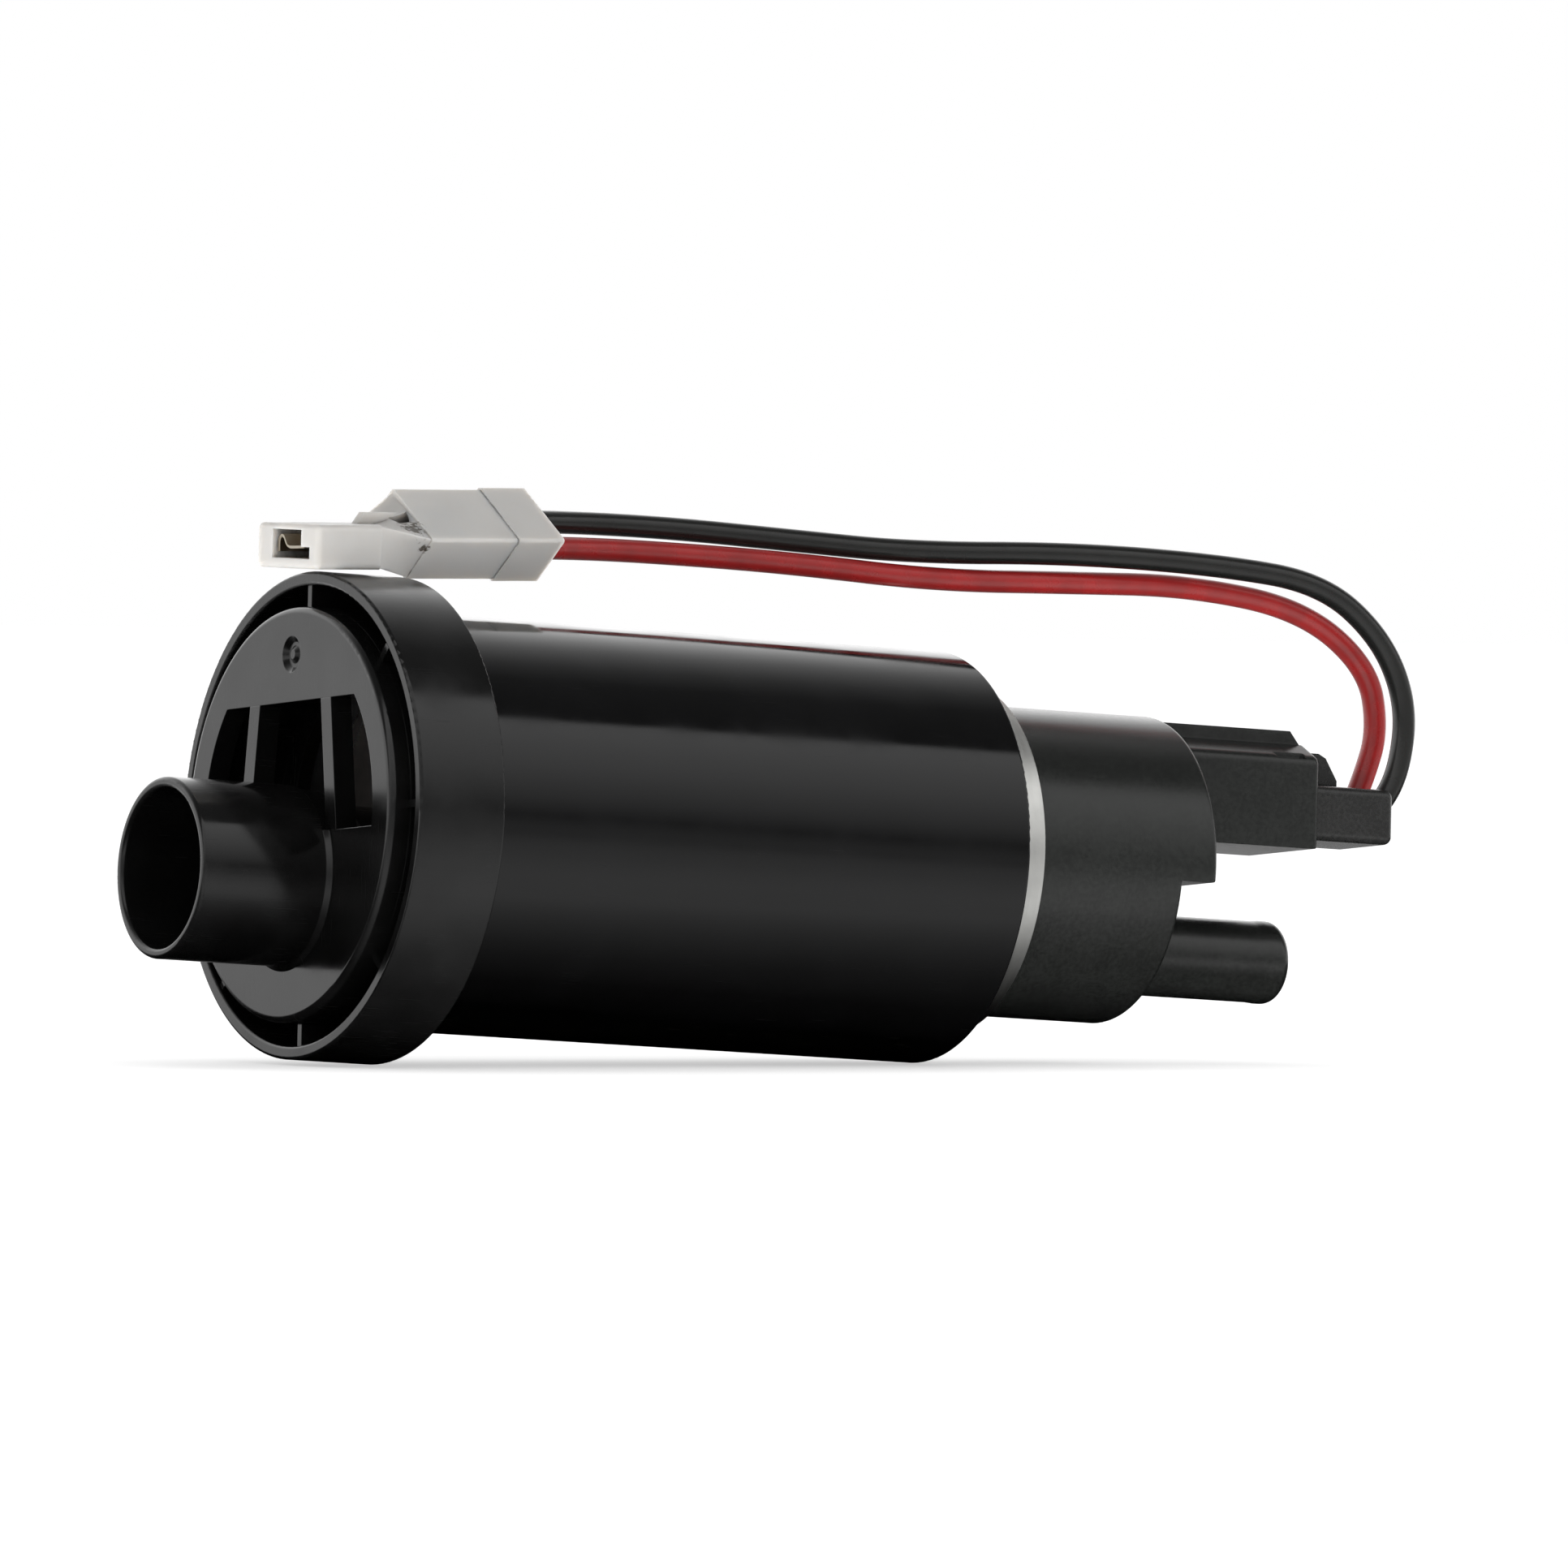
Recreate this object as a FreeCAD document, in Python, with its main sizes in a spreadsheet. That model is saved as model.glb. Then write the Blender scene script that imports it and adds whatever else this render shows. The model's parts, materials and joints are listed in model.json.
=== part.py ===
import FreeCAD, Part
import math
import os

import Sketcher
from FreeCAD import Placement, Rotation, Vector

# Electric fuel pump of the in-tank kind, in millimetres.
# X runs along the pump from its inlet to its outlet, Z is up and Y is across.
# The origin is on the pump axis, in the plane of the flange's front ring face.

DRIVING = {
    "rib_gap": 2.3,
    "flange_width": 10.0,
    "flange_wall": 1.4,
    "flange_web": 1.6,
    "disc_step": 0.1,
    "disc_proud": 1.5,
    "disc_thick": 2.4,
    "disc_edge": 0.7,
    "skirt_wall": 1.8,
    "rib_count": 8,
    "rib_wall": 0.8,
    "rib_recess": 0.5,
    "inlet_r": 9.35,
    "inlet_wall": 1.1,
    "inlet_reach": 16.3,
    "inlet_drop": 6.3,
    "inlet_lip": 0.45,
    "inlet_root": 0.5,
    "inlet_notch": 0.4,
    "ring_edge": 0.3,
    "neck_r": 7.6,
    "neck_bore_r": 6.4,
    "neck_end": 16.1,
    "window_r": 17.7,
    "window_top": 11.6,
    "window_bottom": 2.1,
    "bar_wide": 2.05,
    "bar_foot": 8.92,
    "bar_lean": 7.3,
    "dimple_r": 1.9,
    "dimple_up": 16.5,
    "dimple_deep": 0.5,
    "dimple_slope": 0.6,
    "pip_root_r": 0.95,
    "pip_top_r": 0.475,
    "pip_sunk": 0.15,
    "shelf_gap": 0.2,
    "shelf_thick": 1.6,
    "lap_cover": 1.4,
    "lap_wall": 1.0,
    "lap_length": 5.0,
    "joint_gap": 0.1,
    "sleeve_wall": 3.03,
    "band_length": 3.52,
    "sleeve_edge": 0.4,
    "casing_r": 18.37,
    "casing_wall": 0.8,
    "casing_start": 13.0,
    "shoulder_length": 5.89,
    "casing_gap": 0.1,
    "front_lip": 1.97,
    "inlet_plate_thick": 7.0,
    "neck_taper": 3.0,
    "port_low_r": 5.4,
    "port_high_r": 8.2,
    "port_half_width": 6.0,
    "shaft_nose": 2.75,
    "button_thick": 0.6,
    "gerotor_thick": 7.0,
    "gerotor_gap": 0.05,
    "gerotor_ecc": 0.9,
    "gerotor_lobes": 6,
    "lobe_circle_r": 9.0,
    "lobe_r": 2.6,
    "gerotor_root_r": 8.35,
    "gerotor_outer_r": 10.9,
    "mesh_gap": 0.06,
    "base_plate_thick": 5.0,
    "shaft_r": 2.5,
    "running_gap": 0.03,
    "hex_flats": 7.6,
    "fit_gap": 0.05,
    "bush_r": 4.0,
    "bush_length": 4.5,
    "flux_ring_wall": 2.2,
    "flux_ring_length": 30.0,
    "magnet_thick": 2.9,
    "magnet_span": 130.0,
    "magnet_length": 26.0,
    "clip_clearance": 4.0,
    "clip_thick": 1.2,
    "air_gap": 0.5,
    "core_length": 18.0,
    "core_setback": 6.2,
    "core_slots": 8,
    "slot_wide": 3.0,
    "core_yoke": 2.87,
    "slot_mouth": 1.0,
    "end_turn_length": 4.2,
    "end_turn_edge": 1.4,
    "hub_offset": 0.6,
    "hub_rim": 0.2,
    "hub_thick": 3.6,
    "segment_thick": 2.0,
    "segment_gap": 0.5,
    "commutator_r": 9.4,
    "washer_r": 3.6,
    "bush_play": 0.3,
    "bush_setback": 0.5,
    "holder_setback": 1.4,
    "shoulder_wall": 2.07,
    "flow_hole_r": 2.0,
    "flow_hole_y": 10.5,
    "flow_hole_z": 8.4,
    "brush_reach": 7.2,
    "brush_wide": 4.0,
    "brush_tall": 6.0,
    "brush_length": 9.0,
    "brush_spring_room": 7.5,
    "holder_wall": 1.0,
    "holder_thick": 2.6,
    "spring_wire_r": 0.25,
    "brush_spring_turns": 6,
    "check_spring_turns": 4,
    "relief_spring_turns": 3,
    "rear_lip": 2.07,
    "cover_wall": 2.0,
    "cap_length": 18.31,
    "cap_rise": 4.05,
    "cover_step": 2.1,
    "cover_edge": 0.6,
    "spigot_r": 4.28,
    "spigot_bore_r": 3.0,
    "spigot_drop": 8.75,
    "spigot_length": 20.6,
    "bead_r": 4.36,
    "bead_length": 2.0,
    "bead_rise": 1.0,
    "spigot_nose": 1.2,
    "valve_room_r": 4.0,
    "valve_boss_wall": 1.8,
    "valve_setback": 10.4,
    "valve_end_wall": 1.3,
    "check_seat": 2.0,
    "check_hole_r": 2.0,
    "poppet_thick": 1.2,
    "poppet_gap": 0.4,
    "poppet_play": 0.1,
    "poppet_stem_r": 0.9,
    "poppet_stem": 2.0,
    "relief_y": 8.7,
    "relief_drop": 4.6,
    "relief_room_r": 2.1,
    "relief_wall": 1.4,
    "relief_ball_r": 1.9,
    "relief_hole_r": 1.2,
    "relief_vent_r": 0.9,
    "relief_seat": 1.5,
    "relief_sunk": 0.2,
    "relief_plug": 1.4,
    "socket_side": 1.35,
    "socket_floor_wall": 1.1,
    "latch_roof": 0.65,
    "shoulder_drop": 1.6,
    "socket_length": 18.15,
    "socket_edge": 1.2,
    "end_edge": 0.6,
    "socket_spare": 2.0,
    "key_half": 3.4,
    "key_rise": 1.4,
    "key_setback": 1.9,
    "key_slope": 1.6,
    "plug_half": 5.15,
    "plug_low": 4.1,
    "plug_tall": 5.8,
    "plug_reach": 10.1,
    "plug_insert": 14.2,
    "plug_edge": 0.85,
    "plug_play": 0.12,
    "contact_length": 17.0,
    "contact_wall": 0.45,
    "latch_side": 0.2,
    "latch_root": 2.0,
    "latch_tip": 0.6,
    "latch_nose": 0.9,
    "latch_pad_setback": 6.0,
    "recess_deep": 1.2,
    "well_wall": 1.0,
    "well_floor": 1.2,
    "post_thick": 1.2,
    "lug_window_setback": 5.2,
    "lug_window_long": 3.6,
    "lug_window_tall": 1.7,
    "lug_window_deep": 1.0,
    "latch_half": 2.2,
    "latch_thick": 2.25,
    "latch_gap": 1.3,
    "latch_flat": 2.4,
    "latch_reach": 4.7,
    "latch_tip_rise": 0.8,
    "terminal_pitch": 5.0,
    "blade_thick": 0.8,
    "blade_wide": 2.8,
    "blade_reach": 8.0,
    "wire_r": 1.2,
    "choke_r": 2.3,
    "choke_edge": 0.575,
    "choke_length": 10.0,
    "choke_y": 6.0,
    "choke_drop": 4.6,
    "choke_stand": 6.6,
    "seal_r": 0.9,
    "nest_x": -3.9,
    "nest_y": -2.9,
    "nest_up": 27.32,
    "nest_yaw": 18.0,
    "nest_pitch": 4.5,
    "channel_roll": 4.5,
    "channel_wide": 8.7,
    "channel_tall": 4.6,
    "web_near": 9.5,
    "web_far": 14.5,
    "web_inset": 0.3,
    "channel_edge": 0.6,
    "mouth_near": 3.1,
    "mouth_far": 2.1,
    "mouth_step": 1.9,
    "mouth_low": 1.25,
    "mouth_middle": 0.05,
    "mouth_high": 1.7,
    "mouth_deep": 9.0,
    "strip_setback": 0.7,
    "strip_length": 7.9,
    "block_start": 17.0,
    "block_length": 13.2,
    "block_wide": 7.84,
    "block_tall": 5.66,
    "block_up": 1.27,
    "block_roll": 45.8,
    "block_edge": 0.35,
    "rear_cap_length": 6.8,
    "rear_cap_rim": 0.15,
    "lead_pitch": 4.0,
    "lead_end": 34.0,
    "cell_half": 1.4,
    "cell_contact_wide": 2.6,
    "cell_contact_wall": 0.3,
    "cell_contact_length": 11.0,
    "vent_reach": 2.2,
    "vent_wide": 1.6,
    "vent_low": 1.0,
    "vent_high": 2.4,
    "vent_near": 2.4,
    "tab_length": 7.0,
    "tab_thick": 0.8,
    "tab_tall": 1.2,
    "tab_slope": 1.1,
}

# The routes of the two leads, from the plug's contacts to the white connector.
BLACK_ROUTE = [
    (121.4, -2.5, 7.0), (124.6, -2.5, 7.0), (128.2, -2.5, 7.8), (130.8, -2.6, 12.2),
    (131.4, -2.8, 19.4), (128.0, -2.8, 26.2), (120.6, -2.8, 31.4), (108.6, -1.8, 32.6),
    (92.4, 1.0, 33.0), (75.0, 5.0, 32.2), (61.8, 9.0, 33.0), (49.0, 11.6, 33.6),
    (35.76, 11.49, 33.35), (27.7, 8.87, 32.68)]
RED_ROUTE = [
    (121.4, 2.5, 7.0), (124.4, 2.5, 7.0), (127.6, 2.5, 7.5), (129.5, 2.5, 11.6),
    (131.1, 2.4, 16.8), (129.7, 2.4, 23.4), (121.4, 2.4, 29.0), (107.2, 2.2, 30.6),
    (93.0, 2.2, 30.0), (77.4, 4.2, 29.4), (62.2, 7.4, 30.4), (49.4, 9.3, 30.7),
    (36.84, 8.91, 30.49), (28.78, 6.29, 29.82)]

# How much of the shorter run beside a corner of a lead its arc takes.
ARC_SHARE = 0.45

# How far a cutter passes the faces that it cuts, how near two places count as one, and how many points
# set the outline of each lobe of the inner gerotor.
OVER = 1
TOUCH = 1e-3
LOBE_STEPS = 16

# Section of the curled contact strip in the flat mouth of the white connector.
MOUTH_STRIP = [
    (1.95, -0.6), (1.95, 0.55), (1.75, 1.0), (1.45, 1.2), (1.15, 1.05), (0.95, 0.7), (0.7, 0.15),
    (0.3, 0.0), (-1.7, 0.1), (-1.7, -0.2), (0.2, -0.3), (0.6, -0.15), (0.9, 0.2), (1.15, 0.75),
    (1.4, 0.9), (1.55, 0.75), (1.65, 0.4), (1.65, -0.6)]

doc = FreeCAD.newDocument("fuel_pump")
sheet = doc.addObject("Spreadsheet::Sheet", "Sizes")


class Size:
    """A length that is known both as a number and as an expression on the sheet."""

    def __init__(self, text, value):
        self.text = text
        self.value = value

    def combine(self, other, sign, value):
        return Size("(%s %s %s)" % (self.text, sign, other.text), value)

    def __add__(self, other):
        other = as_size(other)
        return self.combine(other, "+", self.value + other.value)

    def __radd__(self, other):
        return as_size(other) + self

    def __sub__(self, other):
        other = as_size(other)
        return self.combine(other, "-", self.value - other.value)

    def __rsub__(self, other):
        return as_size(other) - self

    def __mul__(self, other):
        other = as_size(other)
        return self.combine(other, "*", self.value * other.value)

    def __rmul__(self, other):
        return as_size(other) * self

    def __truediv__(self, other):
        other = as_size(other)
        return self.combine(other, "/", self.value / other.value)

    def __neg__(self):
        return as_size(0) - self


def as_size(value):
    if isinstance(value, Size):
        return value
    return Size(repr(float(value)), float(value))


class Named:
    """The driving sizes, each an attribute."""


s = Named()
for row, (alias, number) in enumerate(DRIVING.items(), start=1):
    sheet.set("A%d" % row, alias)
    sheet.set("B%d" % row, str(number))
    sheet.setAlias("B%d" % row, alias)
    setattr(s, alias, Size("Sizes." + alias, float(number)))
doc.recompute()

# Radii that follow from each other, from the motor casing outwards and inwards.
s.sleeve_r = s.casing_r + s.casing_gap + s.sleeve_wall
s.disc_r = s.sleeve_r - s.disc_step
s.flange_r = s.disc_r + s.rib_gap + s.flange_wall
s.front_lip_r = s.casing_r - s.front_lip
s.shelf_r = s.front_lip_r + s.shelf_gap
s.rear_lip_r = s.casing_r - s.rear_lip
s.cover_r = s.rear_lip_r - s.casing_gap
s.choke_up = s.cover_r - s.cover_wall - s.choke_drop

# Heights that follow from each other, from the plug's floor upwards and downwards.
s.plug_top = s.plug_low + s.plug_tall
s.terminal_level = s.plug_low + s.plug_tall / 2
s.latch_low = s.plug_top + s.latch_gap
s.latch_top = s.latch_low + s.latch_thick
s.latch_tip_top = s.plug_top + s.latch_tip_rise
s.socket_half = s.plug_half + s.socket_side
s.socket_low = s.plug_low - s.socket_floor_wall
s.socket_top = s.latch_top + s.latch_roof
s.shoulder_low = s.socket_top - s.shoulder_drop
s.key_top = s.socket_top + s.key_rise

ALONG_X = Rotation(Vector(0, 1, 0), 90)
nodes = []


def bind(obj, prop, size):
    size = as_size(size)
    obj.setExpression(prop, size.text)


def set_place(obj, x=0, y=0, z=0, rotation=None):
    x, y, z = as_size(x), as_size(y), as_size(z)
    turn = rotation or Rotation()
    obj.Placement = Placement(Vector(x.value, y.value, z.value), turn)
    bind(obj, "Placement.Base.x", x)
    bind(obj, "Placement.Base.y", y)
    bind(obj, "Placement.Base.z", z)
    return obj


def cylinder(name, radius, start, end, y=0, z=0):
    """A solid rod along X."""
    start, end = as_size(start), as_size(end)
    obj = doc.addObject("Part::Cylinder", name)
    bind(obj, "Radius", radius)
    bind(obj, "Height", end - start)
    return set_place(obj, start, y, z, ALONG_X)


def torus(name, radius, section, x, y=0, z=0):
    obj = doc.addObject("Part::Torus", name)
    bind(obj, "Radius1", radius)
    bind(obj, "Radius2", section)
    return set_place(obj, x, y, z, ALONG_X)


def box(name, x, y, z):
    """A block between pairs of lowest and highest values."""
    obj = doc.addObject("Part::Box", name)
    for prop, (low, high) in (("Length", x), ("Width", y), ("Height", z)):
        bind(obj, prop, as_size(high) - low)
    return set_place(obj, x[0], y[0], z[0])


def across(half):
    return (-as_size(half), as_size(half))


def cut(name, base, *tools):
    obj = doc.addObject("Part::Cut", name)
    obj.Base = base
    obj.Tool = tools[0] if len(tools) == 1 else fuse(name + "_tools", *tools)
    return obj


def fuse(name, *parts):
    obj = doc.addObject("Part::MultiFuse", name)
    obj.Shapes = list(parts)
    return obj


def common(name, *parts):
    obj = doc.addObject("Part::MultiCommon", name)
    obj.Shapes = list(parts)
    return obj


def origin_plane(body, role):
    for feature in body.Origin.OriginFeatures:
        if feature.Role == role:
            return feature


def polygon_sketch(body, role, points):
    """A closed polygon whose corners are held by the sheet's sizes."""
    sketch = body.newObject("Sketcher::SketchObject", body.Name + "_profile")
    sketch.AttachmentSupport = [(origin_plane(body, role), "")]
    sketch.MapMode = "FlatFace"
    corners = [(as_size(a), as_size(b)) for a, b in points]
    count = len(corners)
    for i in range(count):
        a, b = corners[i], corners[(i + 1) % count]
        line = Part.LineSegment(Vector(a[0].value, a[1].value, 0), Vector(b[0].value, b[1].value, 0))
        sketch.addGeometry(line, False)
    for i in range(count):
        sketch.addConstraint(Sketcher.Constraint("Coincident", i, 2, (i + 1) % count, 1))
    for i, corner in enumerate(corners):
        for kind, size in zip(("DistanceX", "DistanceY"), corner):
            held = sketch.addConstraint(Sketcher.Constraint(kind, -1, 1, i, 1, size.value))
            sketch.setExpression("Constraints[%d]" % held, size.text)
    return sketch


def turned(name, points, y=0, z=0):
    """A body turned about its own X axis from (x, radius) corners."""
    body = doc.addObject("PartDesign::Body", name)
    sketch = polygon_sketch(body, "XZ_Plane", points)
    turn = body.newObject("PartDesign::Revolution", name + "_turn")
    turn.Profile = sketch
    turn.ReferenceAxis = (sketch, ["H_Axis"])
    turn.Angle = 360
    return set_place(body, 0, y, z)


def padded(name, role, points, low, high, y=0):
    """A body pushed out from a polygon, between two distances along the plane's normal."""
    low, high = as_size(low), as_size(high)
    body = doc.addObject("PartDesign::Body", name)
    sketch = polygon_sketch(body, role, points)
    pad = body.newObject("PartDesign::Pad", name + "_pad")
    pad.Profile = sketch
    bind(pad, "Length", high - low)
    if role == "XZ_Plane":
        return set_place(body, 0, high + y, 0)
    return set_place(body, low, y, 0)


def rounded(name, base, radius, wanted, least=1):
    """Round the edges that a test picks."""
    doc.recompute()
    size = as_size(radius).value
    picked = []
    for index, edge in enumerate(base.Shape.Edges, start=1):
        if wanted(edge):
            picked.append((index, size, size))
    if len(picked) < least:
        raise ValueError("no edge to round on " + name)
    obj = doc.addObject("Part::Fillet", name)
    obj.Base = base
    obj.Edges = picked
    return obj


def circle_at(edge, x, radius, slack=0.02):
    """Whether an edge is a circle of a radius in a plane across X."""
    curve = edge.Curve
    if not isinstance(curve, Part.Circle):
        return False
    flat = abs(abs(curve.Axis.x) - 1) < 1e-6
    there = abs(curve.Center.x - as_size(x).value) < slack
    return flat and there and abs(curve.Radius - as_size(radius).value) < slack


def spring(name, start, end, radius, turns, y=0, z=0):
    """A coil spring along X, with its wire on a helix."""
    start, end, radius, turns = (as_size(v) for v in (start, end, radius, turns))
    body = doc.addObject("PartDesign::Body", name)
    sketch = body.newObject("Sketcher::SketchObject", name + "_wire")
    sketch.AttachmentSupport = [(origin_plane(body, "XZ_Plane"), "")]
    sketch.MapMode = "FlatFace"
    middle = Vector(s.spring_wire_r.value, radius.value, 0)
    sketch.addGeometry(Part.Circle(middle, Vector(0, 0, 1), s.spring_wire_r.value), False)
    for kind, size in (("DistanceX", s.spring_wire_r), ("DistanceY", radius)):
        held = sketch.addConstraint(Sketcher.Constraint(kind, -1, 1, 0, 3, size.value))
        sketch.setExpression("Constraints[%d]" % held, size.text)
    held = sketch.addConstraint(Sketcher.Constraint("Radius", 0, s.spring_wire_r.value))
    sketch.setExpression("Constraints[%d]" % held, s.spring_wire_r.text)
    coil = body.newObject("PartDesign::AdditiveHelix", name + "_coil")
    coil.Profile = sketch
    coil.ReferenceAxis = (sketch, ["H_Axis"])
    coil.Mode = 1
    height = end - start - 2 * s.spring_wire_r
    bind(coil, "Height", height)
    bind(coil, "Pitch", height / turns)
    bind(coil, "Turns", turns)
    return set_place(body, start, y, z)


def node(label, obj):
    """Register a finished sub-part under its own name."""
    obj.Label = label
    nodes.append((label, obj))
    return obj


def feature(label, shape):
    """A sub-part whose shape is set from a formula."""
    obj = doc.addObject("Part::Feature", label)
    obj.Shape = shape
    return node(label, obj)


# Stations along X, from the inlet end to the outlet end, and the radii between them.
disc_front = -s.disc_proud
disc_back = s.disc_thick - s.disc_proud
seat_r = s.inlet_r - s.inlet_notch
web_front = s.flange_width - s.flange_web
shelf_front = s.flange_width - s.shelf_thick
lap_end = s.flange_width + s.lap_length
lap_r = s.sleeve_r - s.lap_cover
casing_bore_r = s.casing_r - s.casing_wall
inner_r = casing_bore_r - s.casing_gap
holder_r = inner_r - s.shoulder_wall - s.joint_gap
inlet_plate_start = s.casing_start + s.casing_wall
inlet_plate_end = inlet_plate_start + s.inlet_plate_thick
shaft_start = inlet_plate_end - s.shaft_nose
button_start = shaft_start - s.fit_gap - s.button_thick
pump_ring_end = inlet_plate_end + s.gerotor_thick
base_plate_end = pump_ring_end + s.base_plate_thick
flux_ring_end = base_plate_end + s.flux_ring_length
core_start = base_plate_end + s.core_setback
core_end = core_start + s.core_length
hub_start = core_end + s.end_turn_length + s.hub_offset
hub_end = hub_start + s.hub_thick
commutator_face = hub_end + s.segment_thick
brush_start = commutator_face + s.fit_gap
brush_end = brush_start + s.brush_length
spring_end = brush_end + s.brush_spring_room
holder_start = commutator_face + s.holder_setback
holder_end = holder_start + s.holder_thick
choke_start = holder_end + s.choke_stand
choke_end = choke_start + s.choke_length
rear_bush_start = holder_start + s.bush_setback
rear_bush_end = rear_bush_start + s.bush_length
shaft_end = rear_bush_end - s.bush_play
rear_lip_start = holder_end + s.shoulder_length
casing_end = rear_lip_start + s.casing_wall
sleeve_end = casing_end - s.band_length
cap_low_end = casing_end + s.cap_length
cap_high_end = cap_low_end + s.cap_rise
valve_start = cap_low_end - s.valve_setback
valve_room_end = cap_low_end - s.valve_end_wall
spigot_end = cap_low_end + s.spigot_length
socket_end = cap_high_end + s.socket_length
socket_floor = socket_end - s.plug_insert - s.socket_spare
key_end = socket_end - s.key_setback
plug_end = socket_end + s.plug_reach
latch_pad_start = socket_end - s.latch_pad_setback


def inlet_cover():
    """The front moulding's disc, with its windows and the dimple over them."""
    plate = cylinder("cover_disc", s.disc_r, disc_front, disc_back)
    plate = rounded("cover_disc_edge", plate, s.disc_edge, lambda e: circle_at(e, disc_front, s.disc_r))
    seat = cylinder("tube_seat", seat_r, disc_front - OVER, disc_back + OVER, z=-s.inlet_drop)
    floor = disc_front + s.dimple_deep
    dimple = turned("dimple", [
        (disc_front - OVER, 0), (disc_front - OVER, s.dimple_r), (disc_front, s.dimple_r),
        (floor, s.dimple_r - s.dimple_slope), (floor, s.pip_root_r), (disc_front + s.pip_sunk, s.pip_top_r),
        (disc_front + s.pip_sunk, 0)], z=s.dimple_up)
    room = window_room()
    node("inlet_cover", cut("cover_cut", plate, seat, room, dimple))
    for label, side in (("window_bar_left", -1), ("window_bar_right", 1)):
        node(label, common(label + "_cut", window_bar(side), room))


def cover_skirt():
    """The front moulding's ring behind its disc: skirt, shelf and the lap inside the sleeve."""
    back = s.flange_width
    inside_r = s.disc_r - s.skirt_wall
    node("cover_skirt", turned("skirt_ring", [
        (disc_back, inside_r), (disc_back, s.disc_r), (back, s.disc_r), (back, lap_r), (lap_end, lap_r),
        (lap_end, lap_r - s.lap_wall), (back, lap_r - s.lap_wall), (back, s.shelf_r),
        (shelf_front, s.shelf_r), (shelf_front, inside_r)]))


def inlet_tube():
    """The front moulding's wide inlet tube, with the neck that enters the pump stage."""
    neck_start = disc_back + s.neck_taper
    tube = turned("inlet_tube_outside", [
        (-s.inlet_reach, 0), (-s.inlet_reach, s.inlet_r), (disc_front - s.inlet_root, s.inlet_r),
        (disc_front, s.inlet_r + s.inlet_root), (disc_front, seat_r), (disc_back, seat_r),
        (neck_start, s.neck_r), (s.neck_end, s.neck_r), (s.neck_end, 0)], z=-s.inlet_drop)
    bore_r = s.inlet_r - s.inlet_wall
    bore = turned("inlet_bore", [
        (-s.inlet_reach - OVER, 0), (-s.inlet_reach - OVER, bore_r), (disc_back, bore_r),
        (neck_start, s.neck_bore_r), (s.neck_end + OVER, s.neck_bore_r), (s.neck_end + OVER, 0)],
        z=-s.inlet_drop)
    lips = [(-s.inlet_reach, s.inlet_r), (-s.inlet_reach, bore_r)]
    tube = rounded("tube_lip", cut("tube_bored", tube, bore), s.inlet_lip,
                   lambda e: any(circle_at(e, x, r) for x, r in lips), least=2)
    around = s.inlet_r + s.inlet_root * 2
    flare = cut("flare_round",
                cylinder("flare_outer", around, disc_front - s.inlet_root, disc_front, z=-s.inlet_drop),
                cylinder("flare_inner", seat_r, disc_front - OVER, disc_front + OVER, z=-s.inlet_drop))
    above = box("flare_above", (disc_front - OVER, disc_front), across(around), (-s.window_bottom, around))
    node("inlet_tube", cut("tube_under_windows", tube, common("flare_gone", flare, above)))


def flange_ring():
    """The front moulding's locating ring, which stands off the disc on thin ribs."""
    back, bore_r = s.flange_width, s.flange_r - s.flange_wall
    ring = turned("flange_shell", [
        (0, bore_r), (0, s.flange_r), (back, s.flange_r), (back, s.disc_r), (web_front, s.disc_r),
        (web_front, bore_r)])
    ring_edges = [(0, s.flange_r), (back, s.flange_r), (0, bore_r)]
    ring = rounded("flange_edges", ring, s.ring_edge,
                   lambda e: any(circle_at(e, x, r) for x, r in ring_edges), least=3)
    clear = cylinder("flange_clear", s.disc_r, -1, back + OVER)
    node("flange_ring", cut("flange_cut", fuse("flange_and_ribs", ring, *flange_ribs()), clear))


def window_room():
    """The room of the three windows above the tube."""
    depth = (disc_front, disc_back)
    around = cylinder("window_round", s.window_r, *depth)
    band = box("window_band", depth, across(s.window_r), (-s.window_bottom, s.window_top))
    guard = cylinder("window_guard", seat_r, disc_front - OVER, disc_back + OVER, z=-s.inlet_drop)
    return cut("window_cutter", common("window_area", around, band), guard)


def window_bar(side):
    """A leaning bar, taller than the windows that it parts."""
    bar = doc.addObject("Part::Box", "window_bar")
    bind(bar, "Length", s.disc_thick)
    bind(bar, "Width", s.bar_wide)
    bind(bar, "Height", 2 * s.window_r)
    lean = math.radians(side * s.bar_lean.value)
    foot_y = side * s.bar_foot - s.bar_wide * math.cos(lean) / 2 + s.window_r * math.sin(lean)
    foot_z = -s.bar_wide * math.sin(lean) / 2 - s.window_r * math.cos(lean)
    return set_place(bar, disc_front, foot_y, foot_z, Rotation(Vector(1, 0, 0), math.degrees(lean)))


def flange_ribs():
    """Thin ribs that carry the flange ring round the disc."""
    ribs = []
    count = int(s.rib_count.value)
    low_r = s.disc_r - s.rib_wall / 2
    reach = s.flange_r - s.flange_wall / 2 - low_r
    for i in range(count):
        turn = 2 * math.pi * i / count
        rib = doc.addObject("Part::Box", "flange_rib")
        bind(rib, "Length", web_front - s.rib_recess + s.flange_web / 2)
        bind(rib, "Width", s.rib_wall)
        bind(rib, "Height", reach)
        y = -s.rib_wall * math.cos(turn) / 2 - low_r * math.sin(turn)
        z = -s.rib_wall * math.sin(turn) / 2 + low_r * math.cos(turn)
        ribs.append(set_place(rib, s.rib_recess, y, z, Rotation(Vector(1, 0, 0), math.degrees(turn))))
    return ribs


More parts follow.
